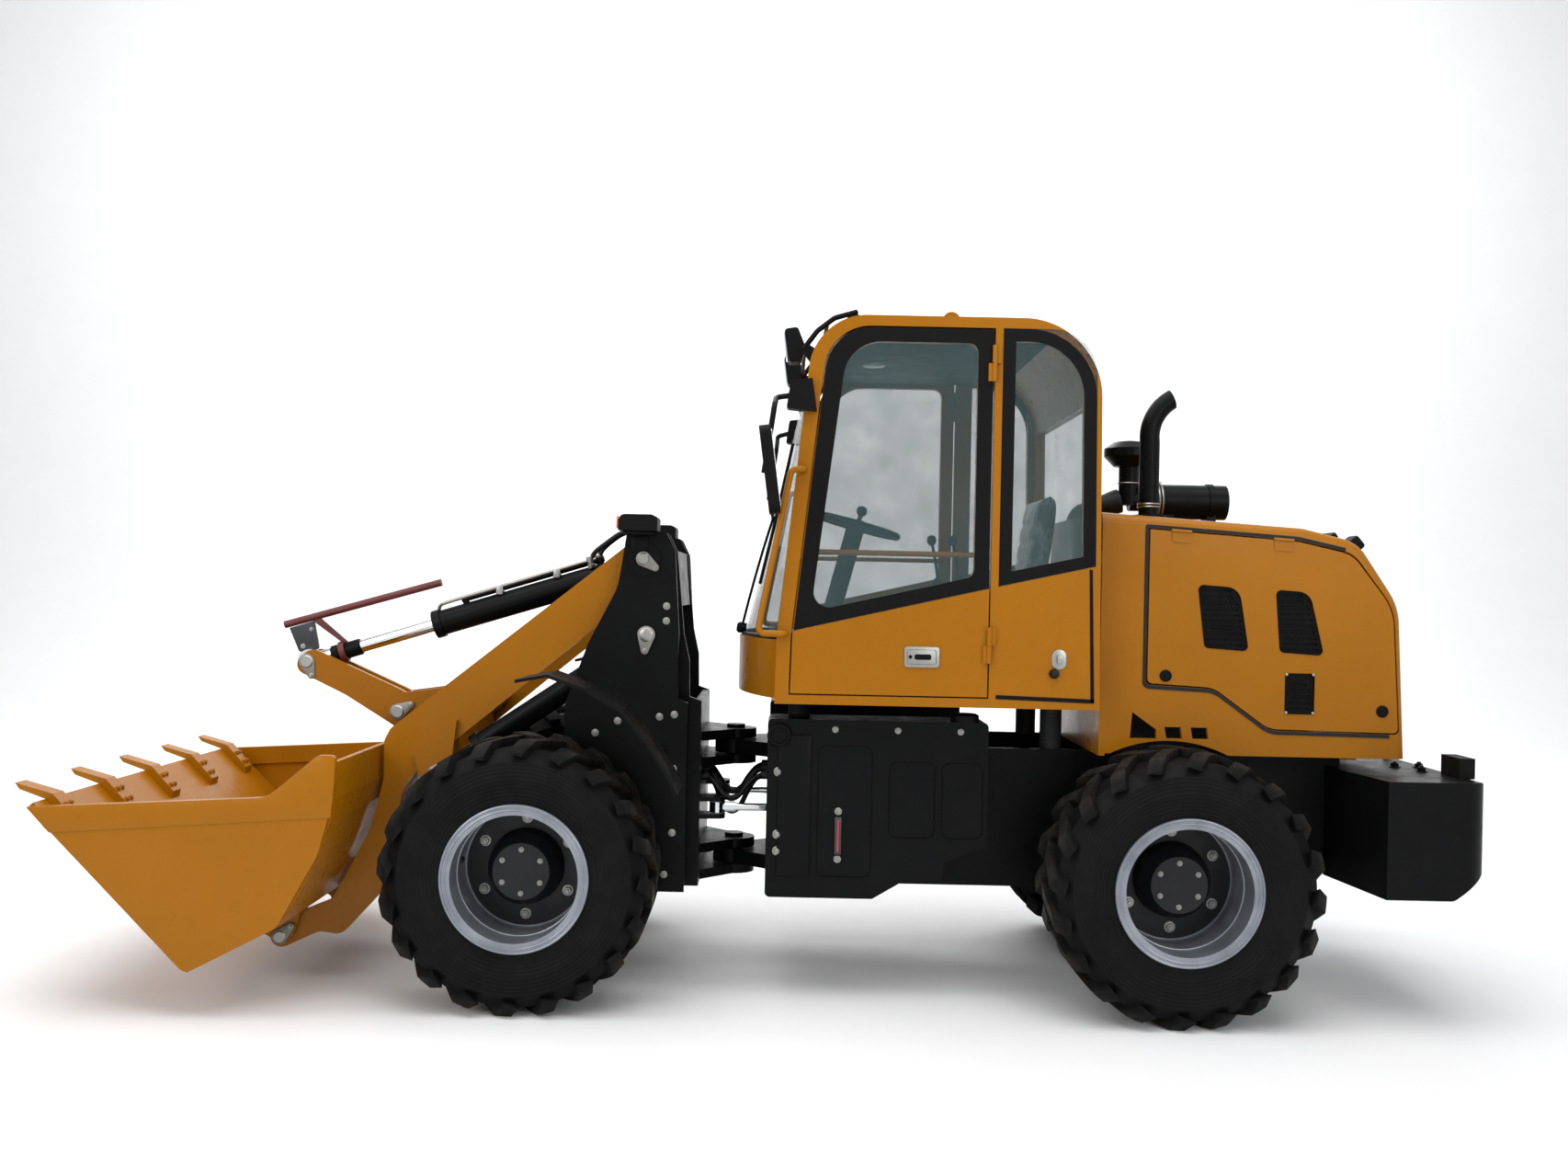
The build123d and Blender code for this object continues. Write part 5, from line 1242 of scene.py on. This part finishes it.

# %% [markdown]
# ## Tanks and frame
# The tank boxes under the cab carry ribs, bolts, a level gauge, a horn and a filler cap.
# Ribs are frames cut from a plate; the gauge's tube is a thin red rod with a painted glow.

# %% Tanks and frame
TANK_Y = 0.590
GAUGE_X = -0.318
TANK_RIBS = [(-0.235, -0.450, 0.500, 1.020), (-0.520, -0.700, 0.660, 0.960), (-0.730, -0.890, 0.660, 0.960)]
HORN = [(0.046, -0.002), (0.048, 0.010), (0.044, 0.020), (0.034, 0.022), (0.032, 0.014), (0.008, 0.016)]
for side, way in SIDES:
    y = way * TANK_Y
    out = (0, way, 0)
    spots = [((GAUGE_X, y, z), out, 0.030) for z in (0.569, 0.759)]
    spots += [((-0.075, y, z), out, 0.036) for z in (0.912, 0.663, 0.597)]
    spots += [((x, y, 1.085), out, 0.026) for x in (-0.30, -0.55, -0.80)]
    copies(f"tank_bolts_{side}", BOLT, spots, steel, "rear_frame", "silver_paint")
    bm = bmesh.new()
    for rib in TANK_RIBS:
        add_plate(bm, rounded_box(*rib, 0.03), y - way * 0.004, y + way * 0.005, 0.002, ring=0.012)
    add_block(bm, (-0.140, y + way * 0.006, 0.78), (0.130, 0.012, 0.56), 0.004)
    piece(f"tank_ribs_{side}", bm, black, "rear_frame")
    bm = bmesh.new()
    add_block(bm, (GAUGE_X, y + way * 0.008, 0.664), (0.028, 0.014, 0.150), 0.004)
    piece(f"tank_gauge_{side}", bm, grey, "rear_frame")
    bm = bmesh.new()
    tube = [(0.014, 0.600), (0.0145, 0.664), (0.014, 0.728)]
    add_tube(bm, [(GAUGE_X, y + way * proud, z) for proud, z in tube], 0.005)
    # The red lens finish makes the tube glow faintly, a painted glow, since the tube is no lamp.
    piece(f"gauge_tube_{side}", bm, red_lens, "rear_frame")
    bm = bmesh.new()
    add_turned(bm, HORN, towards((-0.077, y, 1.060), out), 32)
    piece(f"horn_{side}", bm, black, "rear_frame")
    bm = bmesh.new()
    add_turned(bm, [(0.050, -0.02), (0.050, 0.018), (0.058, 0.020), (0.058, 0.045), (0.046, 0.052)],
               Matrix.Translation((-0.82, way * 0.535, 1.103)), 28)
    piece(f"filler_cap_{side}", bm, plastic, "rear_frame")

# %% [markdown]
# ## Counterweight
# A tow pin drops through the counterweight, bolts hold it down and its lamp blocks have red
# and amber lenses. The pin has a bent handle, made as a tube.

# %% Counterweight
bm = bmesh.new()
tow_x = REAR_X - 1.110
add_turned(bm, [(0.0185, 0.60), (0.0185, 0.985), (0.012, 0.99)], Matrix.Translation((tow_x, 0, 0)), 20)
add_tube(bm, [(tow_x, 0, 0.985), (tow_x, 0, 1.03), (tow_x, 0.06, 1.04), (tow_x, 0.07, 1.00)], 0.008)
piece("tow_pin", bm, steel, "rear_frame")
WEIGHT_TOP = 0.955
WEIGHT_BOLTS = [(0.99, 0.36), (1.09, 0.36), (1.04, 0.50)]
spots = [((REAR_X - x, way * y, WEIGHT_TOP), (0, 0, 1), 0.048)
         for side, way in SIDES for x, y in WEIGHT_BOLTS]
copies("weight_bolts", BOLT, spots, black, "rear_frame", "black_paint")
for side, way in SIDES:
    bm = bmesh.new()
    add_block(bm, (REAR_X - 1.151, way * 0.600, 0.995), (0.010, 0.068, 0.066), 0.004)
    piece(f"tail_lens_{side}", bm, red_lens, "rear_frame")
    bm = bmesh.new()
    add_block(bm, (REAR_X - 1.151, way * 0.676, 0.995), (0.010, 0.068, 0.066), 0.004)
    piece(f"rear_turn_lens_{side}", bm, amber_lens, "rear_frame")

# %% [markdown]
# ## Cab lining
# The underside of the roof is lined and has two round lights. They are low turned discs
# that hang from a thin board.

# %% Cab lining
bm = bmesh.new()
add_block(bm, (REAR_X + 0.920, 0, 2.644), (0.80, 1.22, 0.014), 0.005)
piece("headliner", bm, trim, "rear_frame")
bm = bmesh.new()
for x in (0.65, 1.18):
    add_turned(bm, [(0.050, -0.002), (0.050, 0.010), (0.040, 0.016), (0.010, 0.017)],
               towards((REAR_X + x, 0, 2.637), (0, 0, -1)), 28)
piece("cab_lights", bm, clear_lens, "rear_frame")

# %% [markdown]
# ## Roof lamps
# A work lamp looks forward from each front corner of the roof. Its lens is a soft block
# that leans with the front of the lamp.

# %% Roof lamps
for side, way in SIDES:
    bm = bmesh.new()
    slope = Matrix.Rotation(radians(8.3), 4, "Y")
    add_block(bm, (REAR_X + 1.5665, way * 0.340, 2.6435), (0.012, 0.086, 0.112), 0.005, slope)
    piece(f"roof_lens_{side}", bm, clear_lens, "rear_frame")

# %% [markdown]
# ## Floor
# The photograph shows the machine on plain white. A flat floor would end in a horizon line,
# so a strip of quads curves up into a backdrop, and the floor keeps the shadow.

# %% Floor
sweep = bmesh.new()
profile = [(9.0, 0.0), (-9.0, 0.0)]
profile += [(-9.0 - 4.0 * sin(radians(a)), 4.0 - 4.0 * cos(radians(a))) for a in range(10, 91, 10)]
profile.append((-13.0, 14.0))
rows = [[sweep.verts.new((x, y, z)) for x in (-30.0, 30.0)] for y, z in profile]
for low, high in zip(rows, rows[1:]):
    face = sweep.faces.new((low[0], low[1], high[1], high[0]))
    face.smooth = True
floor_mesh = bpy.data.meshes.new("studio_floor")
sweep.to_mesh(floor_mesh)
floor = bpy.data.objects.new("studio_floor", floor_mesh)
bpy.context.collection.objects.link(floor)
floor.data.materials.append(surface("studio_paper", srgb(244, 244, 244), 0.8, mottle=0.01, relief=0.05))


# %% [markdown]
# ## Lights
# Soft light from above and from both sides gives the pale edges and the gentle shadow under
# the machine. Large rectangles are used, since small lamps would leave hard spots in the
# paint.

# %% Lights
def area_light(name, place, target, size, power):
    data = bpy.data.lights.new(name, "AREA")
    data.shape = "RECTANGLE"
    data.size, data.size_y = size
    data.energy = power
    light = bpy.data.objects.new(name, data)
    light.location = place
    light.rotation_euler = (Vector(target) - Vector(place)).to_track_quat("-Z", "Y").to_euler()
    bpy.context.collection.objects.link(light)
    print(f"{name}: {power} W")


area_light("softbox_top", (0.5, 1.5, 7.0), (0, 0, 1.0), (9.0, 6.0), 470)
area_light("softbox_front", (5.5, 7.0, 4.5), (0.3, 0, 1.2), (4.0, 4.0), 205)
area_light("softbox_side", (-5.0, 7.5, 4.0), (-0.5, 0, 1.2), (4.0, 4.0), 145)
area_light("softbox_back", (0.0, -7.0, 7.5), (0, 0, 1.0), (8.0, 3.0), 260)
area_light("softbox_wall", (0.0, -6.0, 9.5), (0, -13.0, 4.0), (16.0, 2.0), 1050)

# %% [markdown]
# ## Background
# The camera should see plain white without more light on the machine. The world therefore
# has two strengths, and the light path picks the white one for what is seen directly, in
# gloss or through glass.

# %% Background
world = bpy.data.worlds.new("studio_air")
world.use_nodes = True
air = world.node_tree
light = air.nodes["Background"]
light.inputs["Color"].default_value = (0.95, 0.97, 1.0, 1.0)
light.inputs["Strength"].default_value = 0.42
white = air.nodes.new("ShaderNodeBackground")
path = air.nodes.new("ShaderNodeLightPath")
blend = air.nodes.new("ShaderNodeMixShader")
seen = path.outputs["Is Camera Ray"]
for ray in ("Is Glossy Ray", "Is Transmission Ray"):
    either = air.nodes.new("ShaderNodeMath")
    either.operation = "MAXIMUM"
    air.links.new(seen, either.inputs[0])
    air.links.new(path.outputs[ray], either.inputs[1])
    seen = either.outputs[0]
air.links.new(seen, blend.inputs[0])
air.links.new(light.outputs[0], blend.inputs[1])
air.links.new(white.outputs[0], blend.inputs[2])
air.links.new(blend.outputs[0], air.nodes["World Output"].inputs["Surface"])
white.inputs["Color"].default_value = (1.0, 1.0, 1.0, 1.0)
bpy.context.scene.world = world
bpy.context.scene.view_settings.view_transform = "Standard"
print("world:", light.inputs["Strength"].default_value, "as light, 1 where it is seen")

# %% [markdown]
# ## Camera
# The photograph looks square on to the left side from a little above the hood, rolled by
# about a degree. The focal length in pixels is turned into millimetres for a sensor 36 mm
# wide.

# %% Camera
PHOTO_WIDTH = 1706
FOCAL_PIXELS = 1568
camera_data = bpy.data.cameras.new("camera")
camera_data.sensor_width = 36.0
camera_data.lens = 36.0 * FOCAL_PIXELS / PHOTO_WIDTH
camera = bpy.data.objects.new("camera", camera_data)
look = Matrix.Rotation(pi, 4, "Z") @ Matrix.Rotation(pi / 2, 4, "X") @ Matrix.Rotation(radians(1.2), 4, "Z")
camera.matrix_world = Matrix.Translation((-0.0835, 6.33, 1.644)) @ look
bpy.context.collection.objects.link(camera)
bpy.context.scene.camera = camera
print(f"camera: lens of {camera_data.lens:.1f} mm")
